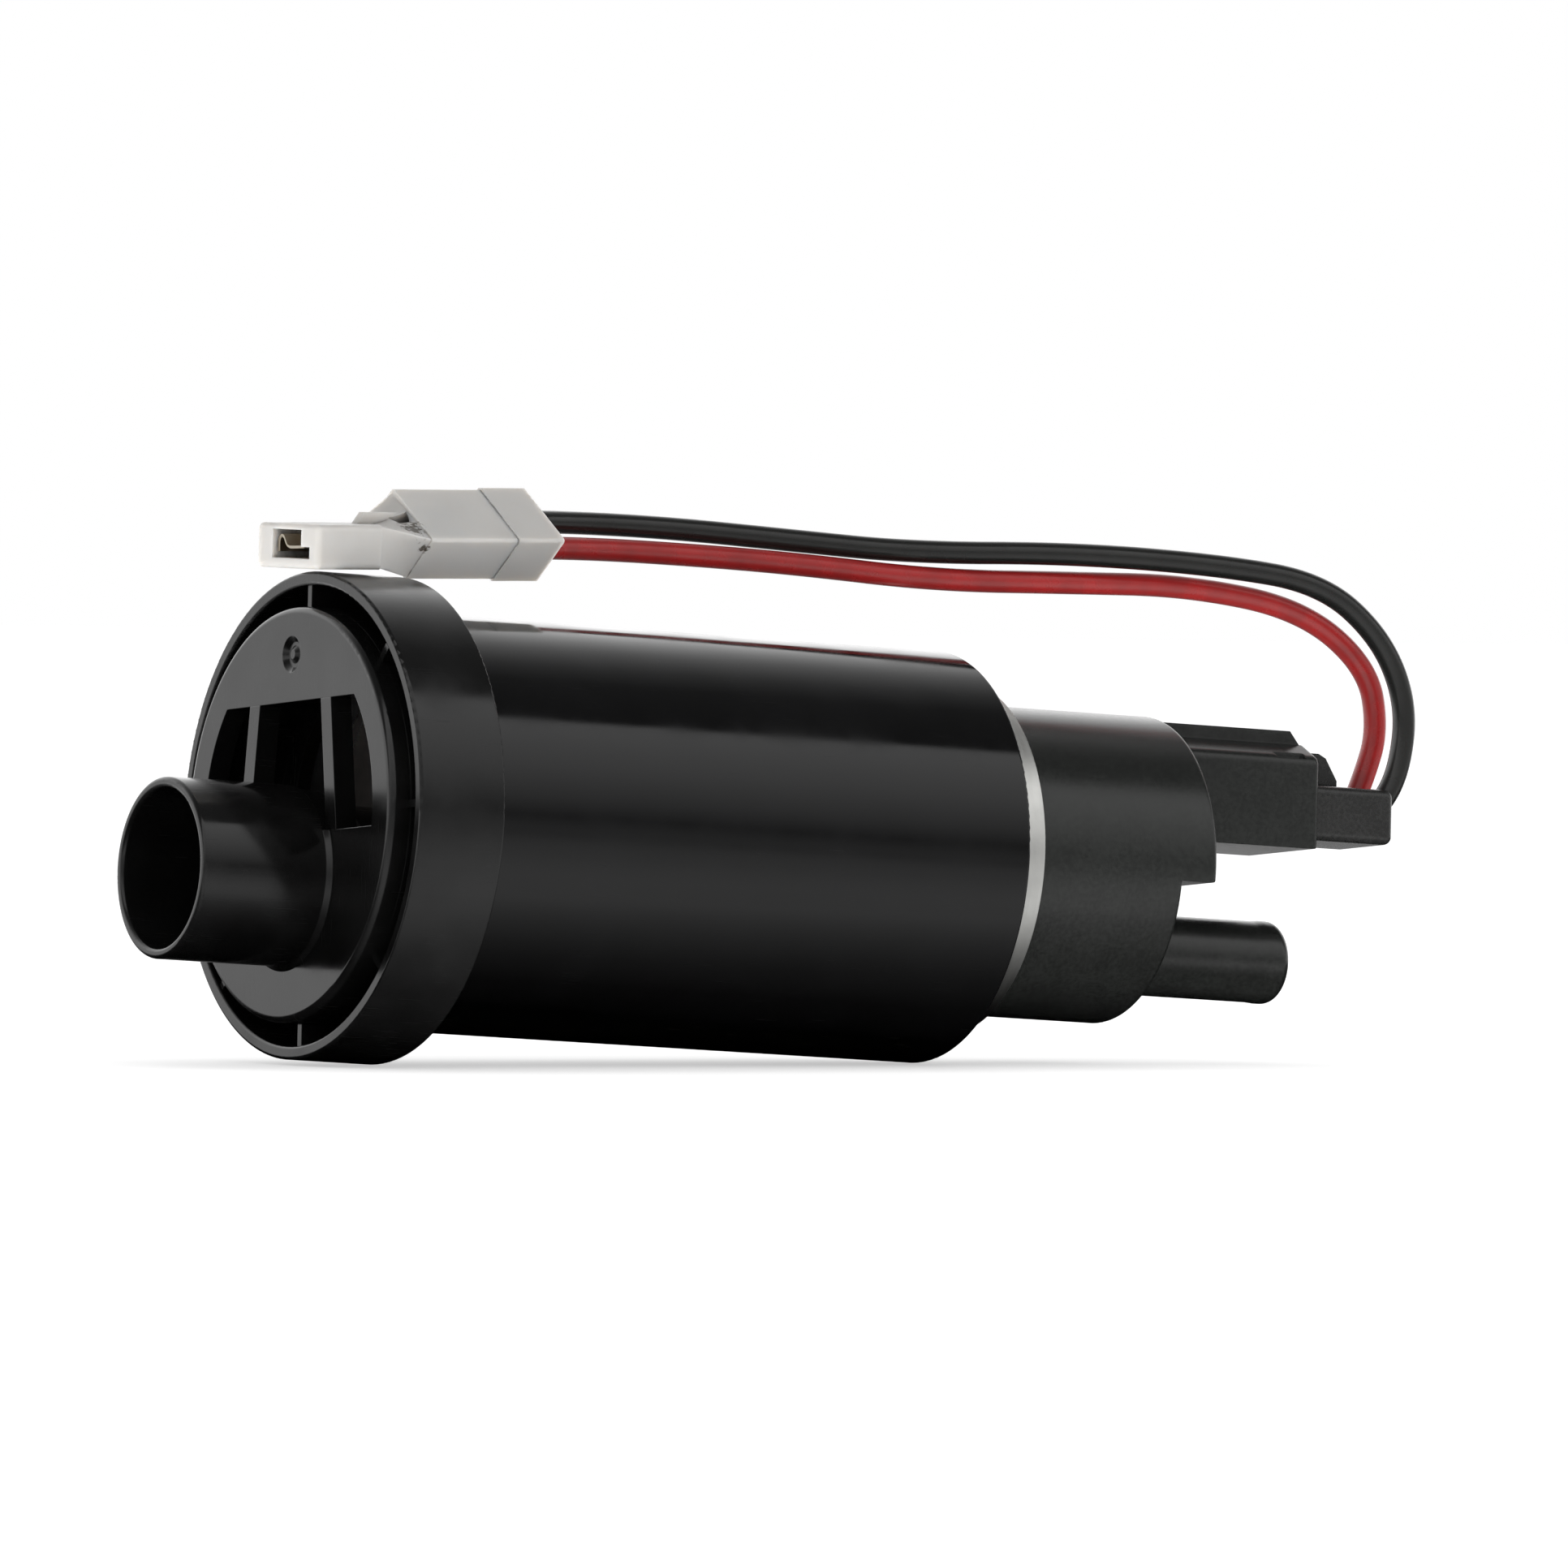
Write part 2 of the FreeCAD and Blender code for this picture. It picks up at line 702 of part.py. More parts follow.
def outer_sleeve():
    bore = s.casing_r + s.casing_gap
    lap = lap_r + s.joint_gap
    shell = turned("sleeve_shell", [
        (s.flange_width, lap), (s.flange_width, s.sleeve_r), (sleeve_end, s.sleeve_r),
        (sleeve_end, bore), (lap_end + s.joint_gap, bore), (lap_end + s.joint_gap, lap)])
    return node("outer_sleeve", rounded("sleeve_rim", shell, s.sleeve_edge,
                                        lambda e: circle_at(e, sleeve_end, s.sleeve_r)))


def motor_casing():
    return node("motor_casing", turned("casing_shell", [
        (s.casing_start, s.front_lip_r), (s.casing_start, s.casing_r), (casing_end, s.casing_r),
        (casing_end, s.rear_lip_r), (rear_lip_start, s.rear_lip_r), (rear_lip_start, casing_bore_r),
        (inlet_plate_start, casing_bore_r), (inlet_plate_start, s.front_lip_r)]))


def kidney(name, start, end, middle):
    """A kidney-shaped port, an arc slot about the axis, centred on an angle."""
    low, high = s.port_low_r, s.port_high_r
    ring = cut(name + "_ring", cylinder(name + "_outer", high, start, end),
               cylinder(name + "_inner", low, start, end))
    half = s.port_half_width
    z = (low / 2, high + OVER) if middle > 0 else (-high - OVER, -low / 2)
    return common(name, ring, box(name + "_sector", (start, end), across(half), z))


def pump_stage():
    """The gerotor stage: two end plates, a ring between them and the rotors inside it."""
    plate = cylinder("inlet_plate_disc", inner_r, inlet_plate_start, inlet_plate_end)
    seal_room_r = s.neck_r + 2 * s.seal_r
    seat = cylinder("neck_seat", seal_room_r, inlet_plate_start - OVER, s.neck_end + s.joint_gap,
                    z=-s.inlet_drop)
    shaft_hole = cylinder("shaft_hole", s.shaft_r + s.running_gap, button_start, inlet_plate_end + OVER)
    port = kidney("inlet_port", s.neck_end - OVER, inlet_plate_end + OVER, -1)
    node("pump_inlet_plate", cut("inlet_plate_cut", plate, seat, shaft_hole, port))
    node("thrust_button", cylinder("button", s.shaft_r - s.joint_gap, button_start, shaft_start - s.fit_gap))

    ring = cylinder("pump_ring_disc", inner_r, inlet_plate_end, pump_ring_end)
    bore = cylinder("pump_ring_bore", s.gerotor_outer_r + s.fit_gap, inlet_plate_end - OVER,
                    pump_ring_end + 1, y=s.gerotor_ecc)
    node("pump_ring", cut("pump_ring_cut", ring, bore))

    base = cylinder("base_plate_disc", inner_r, pump_ring_end, base_plate_end)
    bush_hole = cylinder("front_bush_hole", s.bush_r, pump_ring_end - OVER, base_plate_end + OVER)
    port = kidney("outlet_port", pump_ring_end - OVER, base_plate_end + OVER, 1)
    node("pump_base_plate", cut("base_plate_cut", base, bush_hole, port))
    front_bush_end = base_plate_end - s.joint_gap
    bush("front_bush", front_bush_end - s.bush_length, front_bush_end)


def bush(label, start, end):
    outer = cylinder(label + "_outer", s.bush_r, start, end)
    bore = cylinder(label + "_bore", s.shaft_r + s.running_gap, start - OVER, end + OVER)
    node(label, cut(label + "_cut", outer, bore))


def gerotor_rotors():
    """Two rotors that roll on each other: arcs outside, their envelope inside."""
    start = (inlet_plate_end + s.gerotor_gap).value
    thick = s.gerotor_thick.value - 2 * s.gerotor_gap.value
    lobes = int(s.gerotor_lobes.value)
    ecc = s.gerotor_ecc.value
    circle_r = s.lobe_circle_r.value
    lobe_r = s.lobe_r.value
    along = Vector(thick, 0, 0)

    root = Part.makeCylinder(s.gerotor_root_r.value, thick, Vector(start, ecc, 0), Vector(1, 0, 0))
    outer = Part.makeCylinder(s.gerotor_outer_r.value, thick, Vector(start, ecc, 0), Vector(1, 0, 0))
    outer = outer.cut(root)
    for i in range(lobes + 1):
        turn = 2 * math.pi * i / (lobes + 1)
        middle = Vector(start, ecc + circle_r * math.cos(turn), circle_r * math.sin(turn))
        lobe = Part.makeCylinder(lobe_r, thick, middle, Vector(1, 0, 0))
        rim = Part.makeCylinder((s.gerotor_root_r + s.fit_gap).value, thick, Vector(start, ecc, 0),
                                Vector(1, 0, 0))
        outer = outer.fuse(lobe.common(rim))
    feature("gerotor_outer", outer.removeSplitter())

    offset = lobe_r + s.mesh_gap.value
    points = []
    steps = lobes * LOBE_STEPS
    for i in range(steps):
        a = 2 * math.pi * i / steps
        b = (lobes + 1) * a
        centre = (ecc * math.cos(b) + circle_r * math.cos(a), ecc * math.sin(b) + circle_r * math.sin(a))
        run = (-ecc * (lobes + 1) * math.sin(b) - circle_r * math.sin(a),
               ecc * (lobes + 1) * math.cos(b) + circle_r * math.cos(a))
        size = math.hypot(*run)
        y = centre[0] - offset * run[1] / size
        z = centre[1] + offset * run[0] / size
        points.append(Vector(start, y, z))
    curve = Part.BSplineCurve()
    curve.interpolate(points, PeriodicFlag=True)
    face = Part.Face(Part.Wire([curve.toShape()]))
    inner = face.extrude(along)
    bore = hexagon(s.hex_flats.value, start - OVER, thick + 2 * OVER)
    feature("gerotor_inner", inner.cut(bore))

    plug = hexagon(s.hex_flats.value - 2 * s.fit_gap.value, start, thick)
    hole = Part.makeCylinder(s.shaft_r.value, thick, Vector(start, 0, 0), Vector(1, 0, 0))
    feature("drive_coupling", plug.cut(hole))


def hexagon(flats, start, length):
    """A six-sided prism along X, measured across its flats."""
    reach = flats / 2 / math.cos(math.radians(30))
    corners = []
    for i in range(7):
        turn = math.radians(60 * i)
        corners.append(Vector(start, reach * math.cos(turn), reach * math.sin(turn)))
    return Part.Face(Part.makePolygon(corners)).extrude(Vector(length, 0, 0))


def armature():
    """Shaft, slotted core, windings and face commutator."""
    node("motor_shaft", cylinder("shaft_rod", s.shaft_r, shaft_start, shaft_end))
    core_r = inner_r - s.flux_ring_wall - s.magnet_thick - s.air_gap
    core = cylinder("core_rod", core_r, core_start, core_end)
    tools = [cylinder("core_bore", s.shaft_r, core_start - OVER, core_end + OVER)]
    bars = []
    count = int(s.core_slots.value)
    slot_low = s.shaft_r + s.core_yoke
    slot_top = core_r - s.slot_mouth
    for i in range(count):
        turn = 2 * math.pi * (i + 0.5) / count
        tools.append(spoke("slot_room", turn, core_start - OVER, core_end + OVER, s.slot_wide,
                           slot_low, slot_top))
        tools.append(spoke("slot_opening", turn, core_start - OVER, core_end + OVER, s.slot_mouth,
                           slot_top - s.slot_mouth, core_r + OVER))
        bars.append(spoke("slot_bar", turn, core_start - s.slot_mouth, core_end + s.slot_mouth,
                          s.slot_wide - s.joint_gap, slot_low + s.joint_gap / 2,
                          slot_top - s.joint_gap / 2))
    node("armature_core", cut("core_cut", core, *tools))
    winding_r = slot_top - s.joint_gap / 2
    for name, low, high in (("front_turns", core_start - s.end_turn_length, core_start),
                            ("rear_turns", core_end, core_end + s.end_turn_length)):
        ring = cylinder(name + "_ring", winding_r, low, high)
        hole = cylinder(name + "_hole", s.shaft_r + s.joint_gap, low - OVER, high + OVER)
        turns = cut(name, ring, hole)
        bars.append(rounded(name + "_round", turns, s.end_turn_edge,
                            lambda e: circle_at(e, low, winding_r) or circle_at(e, high, winding_r)))
    node("armature_windings", fuse("windings_all", *bars))

    hub = cylinder("hub_rod", s.commutator_r + s.hub_rim, hub_start, hub_end)
    hub_hole = cylinder("hub_hole", s.shaft_r, hub_start - OVER, hub_end + OVER)
    node("commutator_hub", cut("hub_cut", hub, hub_hole))
    plate = cylinder("segment_plate", s.commutator_r, hub_end, commutator_face)
    gaps = [cylinder("segment_bore", s.bush_r, hub_end - OVER, commutator_face + OVER)]
    for i in range(count):
        turn = 2 * math.pi * i / count
        gaps.append(spoke("segment_gap", turn, hub_end - OVER, commutator_face + OVER, s.segment_gap,
                          0, s.commutator_r + OVER))
    node("commutator_segments", cut("segments_cut", plate, *gaps))
    washer = cylinder("washer_disc", s.washer_r, commutator_face, rear_bush_start - s.joint_gap)
    washer_hole = cylinder("washer_hole", s.shaft_r, commutator_face - OVER, rear_bush_start)
    node("thrust_washer", cut("washer_cut", washer, washer_hole))


def spoke(name, turn, start, end, wide, low, high):
    """A block that stands out from the axis at an angle from the Z axis."""
    start, end, wide, low, high = (as_size(v) for v in (start, end, wide, low, high))
    obj = doc.addObject("Part::Box", name)
    bind(obj, "Length", end - start)
    bind(obj, "Width", wide)
    bind(obj, "Height", high - low)
    y = -wide * math.cos(turn) / 2 - low * math.sin(turn)
    z = -wide * math.sin(turn) / 2 + low * math.cos(turn)
    return set_place(obj, start, y, z, Rotation(Vector(1, 0, 0), math.degrees(turn)))


def stator():
    """The steel flux ring with its two magnets and the clips between them."""
    ring_bore = inner_r - s.flux_ring_wall
    ring = cylinder("flux_ring_rod", inner_r, base_plate_end, flux_ring_end)
    hole = cylinder("flux_ring_bore", ring_bore, base_plate_end - OVER, flux_ring_end + OVER)
    node("flux_ring", cut("flux_ring_cut", ring, hole))
    start = base_plate_end + (s.flux_ring_length - s.magnet_length) / 2
    end = start + s.magnet_length
    for label, middle in (("magnet_left", -90), ("magnet_right", 90)):
        arc_piece(label, ring_bore, s.magnet_thick, start, end, middle, s.magnet_span)
    clip_span = (180 - s.magnet_span) - s.clip_clearance
    for label, middle in (("magnet_clip_upper", 0), ("magnet_clip_lower", 180)):
        arc_piece(label, ring_bore, s.clip_thick, start, end, middle, clip_span)


def arc_piece(label, outer_r, thick, start, end, middle, span):
    """A part of a tube round the axis, centred on an angle from the Z axis."""
    parts = []
    for kind, radius, x in (("outer", outer_r, (start, end)),
                            ("inner", outer_r - thick, (start - OVER, end + OVER))):
        rod = cylinder(label + "_" + kind, radius, *x)
        bind(rod, "Angle", span)
        turn = Rotation(Vector(1, 0, 0), 180 + middle - span.value / 2)
        rod.Placement = Placement(Vector(x[0].value, 0, 0), turn.multiply(ALONG_X))
        bind(rod, "Placement.Base.x", x[0])
        parts.append(rod)
    node(label, cut(label + "_cut", *parts))


def brush_gear():
    """The end plate that carries the rear bush and the two axial brushes."""
    plate = cylinder("holder_disc", holder_r, holder_start, holder_end)
    post_r = s.bush_r + s.holder_wall
    post = cylinder("bearing_post", post_r, holder_start, rear_bush_end + s.joint_gap)
    solid = [plate, post]
    room = [cylinder("rear_bush_room", s.bush_r, rear_bush_start, rear_bush_end + OVER),
            cylinder("rear_shaft_way", s.washer_r + s.bush_play, holder_start - OVER, rear_bush_start)]
    cap_end = spring_end + s.holder_wall
    play = s.joint_gap
    for side in (-1, 1):
        low = side * s.brush_reach - s.brush_wide / 2 - play
        high = side * s.brush_reach + s.brush_wide / 2 + play
        tall = across(s.brush_tall / 2 + play)
        solid.append(box("brush_tube", (holder_start, cap_end), (low - s.holder_wall, high + s.holder_wall),
                         across(s.brush_tall / 2 + play + s.holder_wall)))
        room.append(box("brush_room", (holder_start - OVER, spring_end), (low, high), tall))
        solid.append(cylinder("choke_post", s.choke_r - s.holder_wall, holder_start, choke_start,
                              y=side * s.choke_y, z=s.choke_up))
        for way in (-1, 1):
            room.append(cylinder("flow_hole", s.flow_hole_r, holder_start - OVER, holder_end + OVER,
                                 y=side * s.flow_hole_y, z=-s.flow_hole_z if way < 0 else s.flow_hole_z))
    node("brush_holder", cut("holder_cut", fuse("holder_solid", *solid), *room))
    bush("rear_bush", rear_bush_start, rear_bush_end)
    for label, side in (("negative", -1), ("positive", 1)):
        middle = side * s.brush_reach
        block = box("brush_block", (brush_start, brush_end),
                    (middle - s.brush_wide / 2, middle + s.brush_wide / 2), across(s.brush_tall / 2))
        node("brush_" + label, block)
        node("brush_spring_" + label, spring("brush_coil_" + label, brush_end, spring_end,
                                             s.brush_wide / 2 - s.spring_wire_r * 2, s.brush_spring_turns,
                                             y=middle))
        rod = cylinder("choke_rod", s.choke_r, choke_start, choke_end, y=side * s.choke_y, z=s.choke_up)
        node("choke_" + label, rounded("choke_round_" + label, rod, s.choke_edge,
                                       lambda e: isinstance(e.Curve, Part.Circle), least=2))


def cap_outside():
    """The stepped outer form of the rear cap."""
    r = s.cover_r
    outer = cylinder("cap_outer", r, holder_end, cap_high_end)
    low_gone = box("cap_low_gone", (cap_low_end, cap_high_end + OVER), across(r + OVER),
                   (-r - OVER, -s.cover_step))
    rims = [(cap_low_end, r), (cap_high_end, r)]

    def rim_or_corner(edge):
        room = edge.BoundBox
        straight = room.XLength < TOUCH and room.ZLength < TOUCH
        corner = straight and abs(room.XMax - cap_high_end.value) < TOUCH
        return corner or any(circle_at(edge, x, radius) for x, radius in rims)

    return rounded("cap_edges", cut("cap_stepped", outer, low_gone), s.cover_edge, rim_or_corner, least=3)


def outlet_cover(outside):
    """The rear moulding's cap, with the seats of the two valves."""
    r, wall = s.cover_r, s.cover_wall
    shoulder = turned("cover_shoulder", [
        (flux_ring_end, holder_r + s.joint_gap), (flux_ring_end, inner_r), (rear_lip_start, inner_r),
        (rear_lip_start, r - wall), (holder_end, r - wall), (holder_end, holder_r + s.joint_gap)])
    inner = cylinder("cap_inner", r - wall, holder_end - OVER, cap_high_end - wall)
    low_floor = box("cap_low_floor", (cap_low_end - wall, cap_high_end), across(r + OVER),
                    (-r - OVER, wall - s.cover_step))
    cap = cut("cap_shell", outside, cut("cap_room", inner, low_floor))
    boss = cylinder("valve_boss", s.valve_room_r + s.valve_boss_wall, valve_start,
                    cap_low_end - wall / 2, z=-s.spigot_drop)
    relief = cylinder("relief_boss", s.relief_room_r + s.relief_wall, valve_start,
                      cap_low_end - wall / 2, y=s.relief_y, z=-s.relief_drop)
    seat_end = valve_start + s.relief_seat
    tools = [
        cylinder("valve_room", s.valve_room_r, valve_start - OVER, valve_room_end, z=-s.spigot_drop),
        cylinder("outlet_hole", s.spigot_bore_r, valve_room_end - OVER, cap_low_end + OVER, z=-s.spigot_drop),
        cylinder("relief_seat_hole", s.relief_hole_r, valve_start - OVER, seat_end + OVER,
                 y=s.relief_y, z=-s.relief_drop),
        cylinder("relief_room", s.relief_room_r, seat_end, cap_low_end + OVER,
                 y=s.relief_y, z=-s.relief_drop)]
    tools += [blade("cap_way_" + label, side) for label, side in (("a", -1), ("b", 1))]
    node("outlet_cover", cut("cover_all_cut", fuse("cover_whole", shoulder, cap, boss, relief), *tools))


def outlet_spigot():
    """The rear moulding's slim outlet tube, with a low bead at its nose."""
    bead_start = spigot_end - s.bead_length
    spigot = turned("spigot_tube", [
        (cap_low_end, s.spigot_bore_r), (cap_low_end, s.spigot_r),
        (bead_start - s.bead_rise, s.spigot_r), (bead_start, s.bead_r), (spigot_end, s.bead_r),
        (spigot_end, s.spigot_bore_r)], z=-s.spigot_drop)
    node("outlet_spigot", rounded("spigot_nose_round", spigot, s.spigot_nose,
                                  lambda e: circle_at(e, spigot_end, s.bead_r)))


def connector_socket(outside):
    """The connector shroud on the cap's face, with a key rail on top."""
    start = cap_high_end - s.cover_wall / 2
    half, low, top = s.socket_half, s.socket_low, s.socket_top
    block = padded("socket_box", "YZ_Plane", [
        (-half, low), (half, low), (half, s.shoulder_low), (s.key_half, top), (-s.key_half, top),
        (-half, s.shoulder_low)], start, socket_end)

    def shoulder_edge(edge):
        box_ = edge.BoundBox
        along = box_.XLength > 1 and box_.YLength < TOUCH and box_.ZLength < TOUCH
        return along and abs(box_.ZMax - s.shoulder_low.value) < TOUCH

    def end_edge(edge):
        box_ = edge.BoundBox
        return box_.XLength < TOUCH and abs(box_.XMax - socket_end.value) < TOUCH

    block = rounded("socket_shoulders", block, s.socket_edge, shoulder_edge, least=2)
    block = rounded("socket_end_edges", block, s.end_edge, end_edge)
    key = padded("key_rail", "XZ_Plane", [
        (start, s.socket_top - OVER), (start, s.key_top), (key_end, s.key_top),
        (key_end + s.key_slope, s.socket_top - s.end_edge),
        (key_end + s.key_slope, s.socket_top - OVER)],
        -s.key_half, s.key_half)
    node("connector_socket", cut("socket_cut", fuse("socket_and_key", block, key), outside, *socket_tools()))


def socket_tools():
    """Room in the shroud for the plug, its latch and the two blades."""
    half = s.plug_half + s.plug_play
    room = box("plug_room", (socket_floor, socket_end + OVER), across(half),
               (s.plug_low - s.plug_play, s.plug_top + s.plug_play))
    way = box("latch_way", (socket_floor, socket_end + OVER), across(s.latch_half + s.latch_side),
              (s.plug_top, s.latch_top + s.latch_side))
    lug_start = socket_end - s.lug_window_setback
    window = box("latch_window", (lug_start, lug_start + s.lug_window_long),
                 (-s.socket_half - OVER, -s.socket_half + s.lug_window_deep),
                 (s.socket_top - s.lug_window_tall, s.socket_top + OVER))
    blades = [blade("blade_way_" + label, side) for label, side in (("a", -1), ("b", 1))]
    return [room, way, window] + blades


def blade(name, side):
    """One flat terminal with a tab that meets its choke."""
    middle = side * s.terminal_pitch / 2
    flat = box(name + "_flat", (choke_end, socket_floor + s.blade_reach),
               (middle - s.blade_wide / 2, middle + s.blade_wide / 2),
               across_at(s.terminal_level, s.blade_thick / 2))
    near = side * (s.terminal_pitch - s.blade_wide) / 2
    far = side * (s.choke_y + s.blade_thick)
    span = (near, far) if side > 0 else (far, near)
    tab = box(name + "_tab", (choke_end, choke_end + s.blade_thick), span,
              (s.terminal_level - s.blade_thick / 2, s.choke_up + s.blade_thick))
    return fuse(name, flat, tab)


def across_at(middle, half):
    return (middle - half, middle + half)


def terminals():
    for label, side in (("negative", -1), ("positive", 1)):
        node("terminal_" + label, blade("terminal_blade_" + label, side))


def valves():
    """The check valve in the outlet and the relief valve beside it."""
    drop = -s.spigot_drop
    seat_end = valve_start + s.check_seat
    ring = cylinder("check_seat_rod", s.valve_room_r - s.fit_gap, valve_start, seat_end, z=drop)
    hole = cylinder("check_seat_hole", s.check_hole_r, valve_start - OVER, seat_end + OVER, z=drop)
    node("check_valve_seat", cut("check_seat_cut", ring, hole))
    disc_start = seat_end + s.fit_gap
    disc_end = disc_start + s.poppet_thick
    node("check_valve_poppet", turned("poppet", [
        (valve_start + s.fit_gap, 0), (valve_start + s.fit_gap, s.check_hole_r - s.poppet_play * 2),
        (disc_start, s.check_hole_r - s.poppet_play), (disc_start, s.valve_room_r - s.poppet_gap),
        (disc_end, s.valve_room_r - s.poppet_gap), (disc_end, s.poppet_stem_r),
        (disc_end + s.poppet_stem, s.poppet_stem_r), (disc_end + s.poppet_stem, 0)], z=drop))
    coil_r = (s.spigot_bore_r + s.valve_room_r) / 2 - s.spring_wire_r
    node("check_valve_spring", spring("check_coil", disc_end, valve_room_end, coil_r,
                                      s.check_spring_turns, z=drop))

    seat_end = valve_start + s.relief_seat
    ball_r, hole_r = s.relief_ball_r.value, s.relief_hole_r.value
    lift = math.sqrt(ball_r ** 2 - hole_r ** 2)
    ball = doc.addObject("Part::Sphere", "relief_sphere")
    bind(ball, "Radius", s.relief_ball_r)
    node("relief_valve_ball", set_place(ball, seat_end + lift + s.fit_gap, s.relief_y, -s.relief_drop))
    plug_end = cap_low_end - s.relief_sunk
    plug_start = plug_end - s.relief_plug
    rod = cylinder("relief_plug_rod", s.relief_room_r, plug_start, plug_end, y=s.relief_y, z=-s.relief_drop)
    vent = cylinder("relief_plug_hole", s.relief_vent_r, plug_start - OVER, plug_end + OVER,
                    y=s.relief_y, z=-s.relief_drop)
    node("relief_valve_plug", cut("relief_plug_cut", rod, vent))
    coil_r = s.relief_room_r - s.spring_wire_r * 3
    back = math.sqrt(ball_r ** 2 - coil_r.value ** 2)
    node("relief_valve_spring", spring("relief_coil", seat_end + lift + back + s.joint_gap, plug_start,
                                       coil_r, s.relief_spring_turns, y=s.relief_y, z=-s.relief_drop))


def seals():
    drop = -s.inlet_drop
    node("inlet_seal", torus("inlet_o_ring", s.neck_r + s.seal_r, s.seal_r,
                             s.neck_end - s.seal_r - s.joint_gap, z=drop))
    ring = cylinder("buffer_rod", s.casing_r - s.joint_gap, s.flange_width, s.casing_start)
    hole = cylinder("buffer_hole", s.shelf_r + s.joint_gap, s.flange_width - OVER, s.casing_start + OVER)
    node("rubber_buffer", cut("buffer_cut", ring, hole))


def plug():
    """The wiring plug in the socket: housing, contacts and latch."""
    front = socket_end - s.plug_insert
    housing = box("plug_box", (front, plug_end), across(s.plug_half), (s.plug_low, s.plug_top))

    def long_or_end(edge):
        room = edge.BoundBox
        along = room.XLength > 1
        at_end = room.XLength < TOUCH and abs(room.XMax - plug_end.value) < TOUCH
        return along or at_end

    housing = rounded("plug_edges", housing, s.plug_edge, long_or_end, least=8)
    tools = []
    contact_end = front + s.contact_length
    for side in (-1, 1):
        middle = side * s.terminal_pitch / 2
        wide = s.blade_wide / 2 + s.contact_wall + s.fit_gap
        tall = s.blade_thick / 2 + s.contact_wall + s.fit_gap
        tools.append(box("contact_room", (front - OVER, contact_end + s.fit_gap),
                         across_at(middle, wide), across_at(s.terminal_level, tall)))
        tools.append(cylinder("wire_hole", s.wire_r + s.fit_gap, contact_end, plug_end + OVER, y=middle,
                              z=s.terminal_level))
    well_half = s.plug_half - s.well_wall
    tools.append(box("wire_well", (contact_end + s.well_wall, plug_end + OVER), across(well_half),
                     (s.plug_low + s.well_floor, s.plug_top + OVER)))
    tools.append(box("latch_recess", (latch_pad_start - s.latch_root, contact_end + s.well_wall + OVER),
                     across(s.latch_half + s.latch_side), (s.plug_top - s.recess_deep, s.plug_top + OVER)))
    posts = []
    for side in (-1, 1):
        inner, outer = side * s.latch_half, side * (s.latch_half - s.post_thick)
        span = (inner, outer) if side < 0 else (outer, inner)
        posts.append(box("latch_post", (front, front + s.latch_root), span,
                         (s.plug_top - s.plug_edge / 2, s.latch_low + s.fit_gap)))
    node("plug_housing", fuse("plug_all", cut("plug_cut", housing, *tools), *posts))
    for label, side in (("negative", -1), ("positive", 1)):
        middle = side * s.terminal_pitch / 2
        outer = box("contact_outer", (front + s.fit_gap, contact_end),
                    across_at(middle, s.blade_wide / 2 + s.contact_wall),
                    across_at(s.terminal_level, s.blade_thick / 2 + s.contact_wall))
        room = box("contact_slot", (front - OVER, socket_floor + s.blade_reach + s.joint_gap * 2),
                   across_at(middle, s.blade_wide / 2 + s.fit_gap),
                   across_at(s.terminal_level, s.blade_thick / 2 + s.fit_gap))
        node("plug_contact_" + label, cut("contact_cut", outer, room))
    latch_start = front + s.fit_gap
    root = s.latch_low + s.joint_gap
    tip_low = s.latch_tip_top - s.latch_tip
    flat_end = socket_end + s.latch_flat
    latch_end = socket_end + s.latch_reach
    node("plug_latch", padded("latch_tongue", "XZ_Plane", [
        (latch_start, root), (latch_start, s.latch_top), (flat_end, s.latch_top),
        (flat_end + s.latch_nose, s.latch_top - s.latch_nose / 2),
        (latch_end, s.latch_tip_top), (latch_end, tip_low), (latch_pad_start, tip_low),
        (latch_pad_start - s.latch_tip, root)], -s.latch_half, s.latch_half))


def lead(label, route):
    """A wire along a route: straight runs joined by arcs as large as the runs allow."""
    points = [Vector(*p) for p in route]
    edges = []
    last = points[0]
    length = 0
    print(label, "arc radii:", end=" ")
    for before, corner, after in zip(points, points[1:], points[2:]):
        back, on = before - corner, after - corner
        reach = ARC_SHARE * min(back.Length, on.Length)
        first = corner + back.normalize() * reach
        end = corner + on.normalize() * reach
        half_turn = (math.pi - back.getAngle(on)) / 2
        radius = reach / math.tan(half_turn)
        inward = (back + on).normalize()
        middle = corner + inward * (radius / math.cos(half_turn) - radius)
        edges.append(Part.LineSegment(last, first).toShape())
        edges.append(Part.Arc(first, middle, end).toShape())
        length += (first - last).Length + radius * 2 * half_turn
        last = end
        print(round(radius, 1), end=" ")
    edges.append(Part.LineSegment(last, points[-1]).toShape())
    length += (points[-1] - last).Length
    path = Part.Wire(edges)
    section = Part.Wire([Part.Circle(points[0], points[1] - points[0], s.wire_r.value).toShape()])
    tube = path.makePipeShell([section], True, False)
    ideal = math.pi * s.wire_r.value ** 2 * length
    print("length", round(length, 1), "volume", round(tube.Volume, 2), "ideal volume", round(ideal, 2))
    feature(label, tube)


def laid(name, obj, roll=0, up=0):
    """A piece of the white connector, drawn along its own X axis, set where it lies."""
    lie = Rotation(Vector(0, 0, 1), s.nest_yaw.value)
    lie = lie.multiply(Rotation(Vector(0, 1, 0), -s.nest_pitch.value))
    lie = Placement(Vector(s.nest_x.value, s.nest_y.value, s.nest_up.value), lie)
    own = Placement(Vector(0, 0, as_size(up).value), Rotation(Vector(1, 0, 0), as_size(roll).value))
    moved = doc.addObject("Part::Compound", name)
    moved.Links = [obj]
    moved.Placement = lie.multiply(own)
    return moved


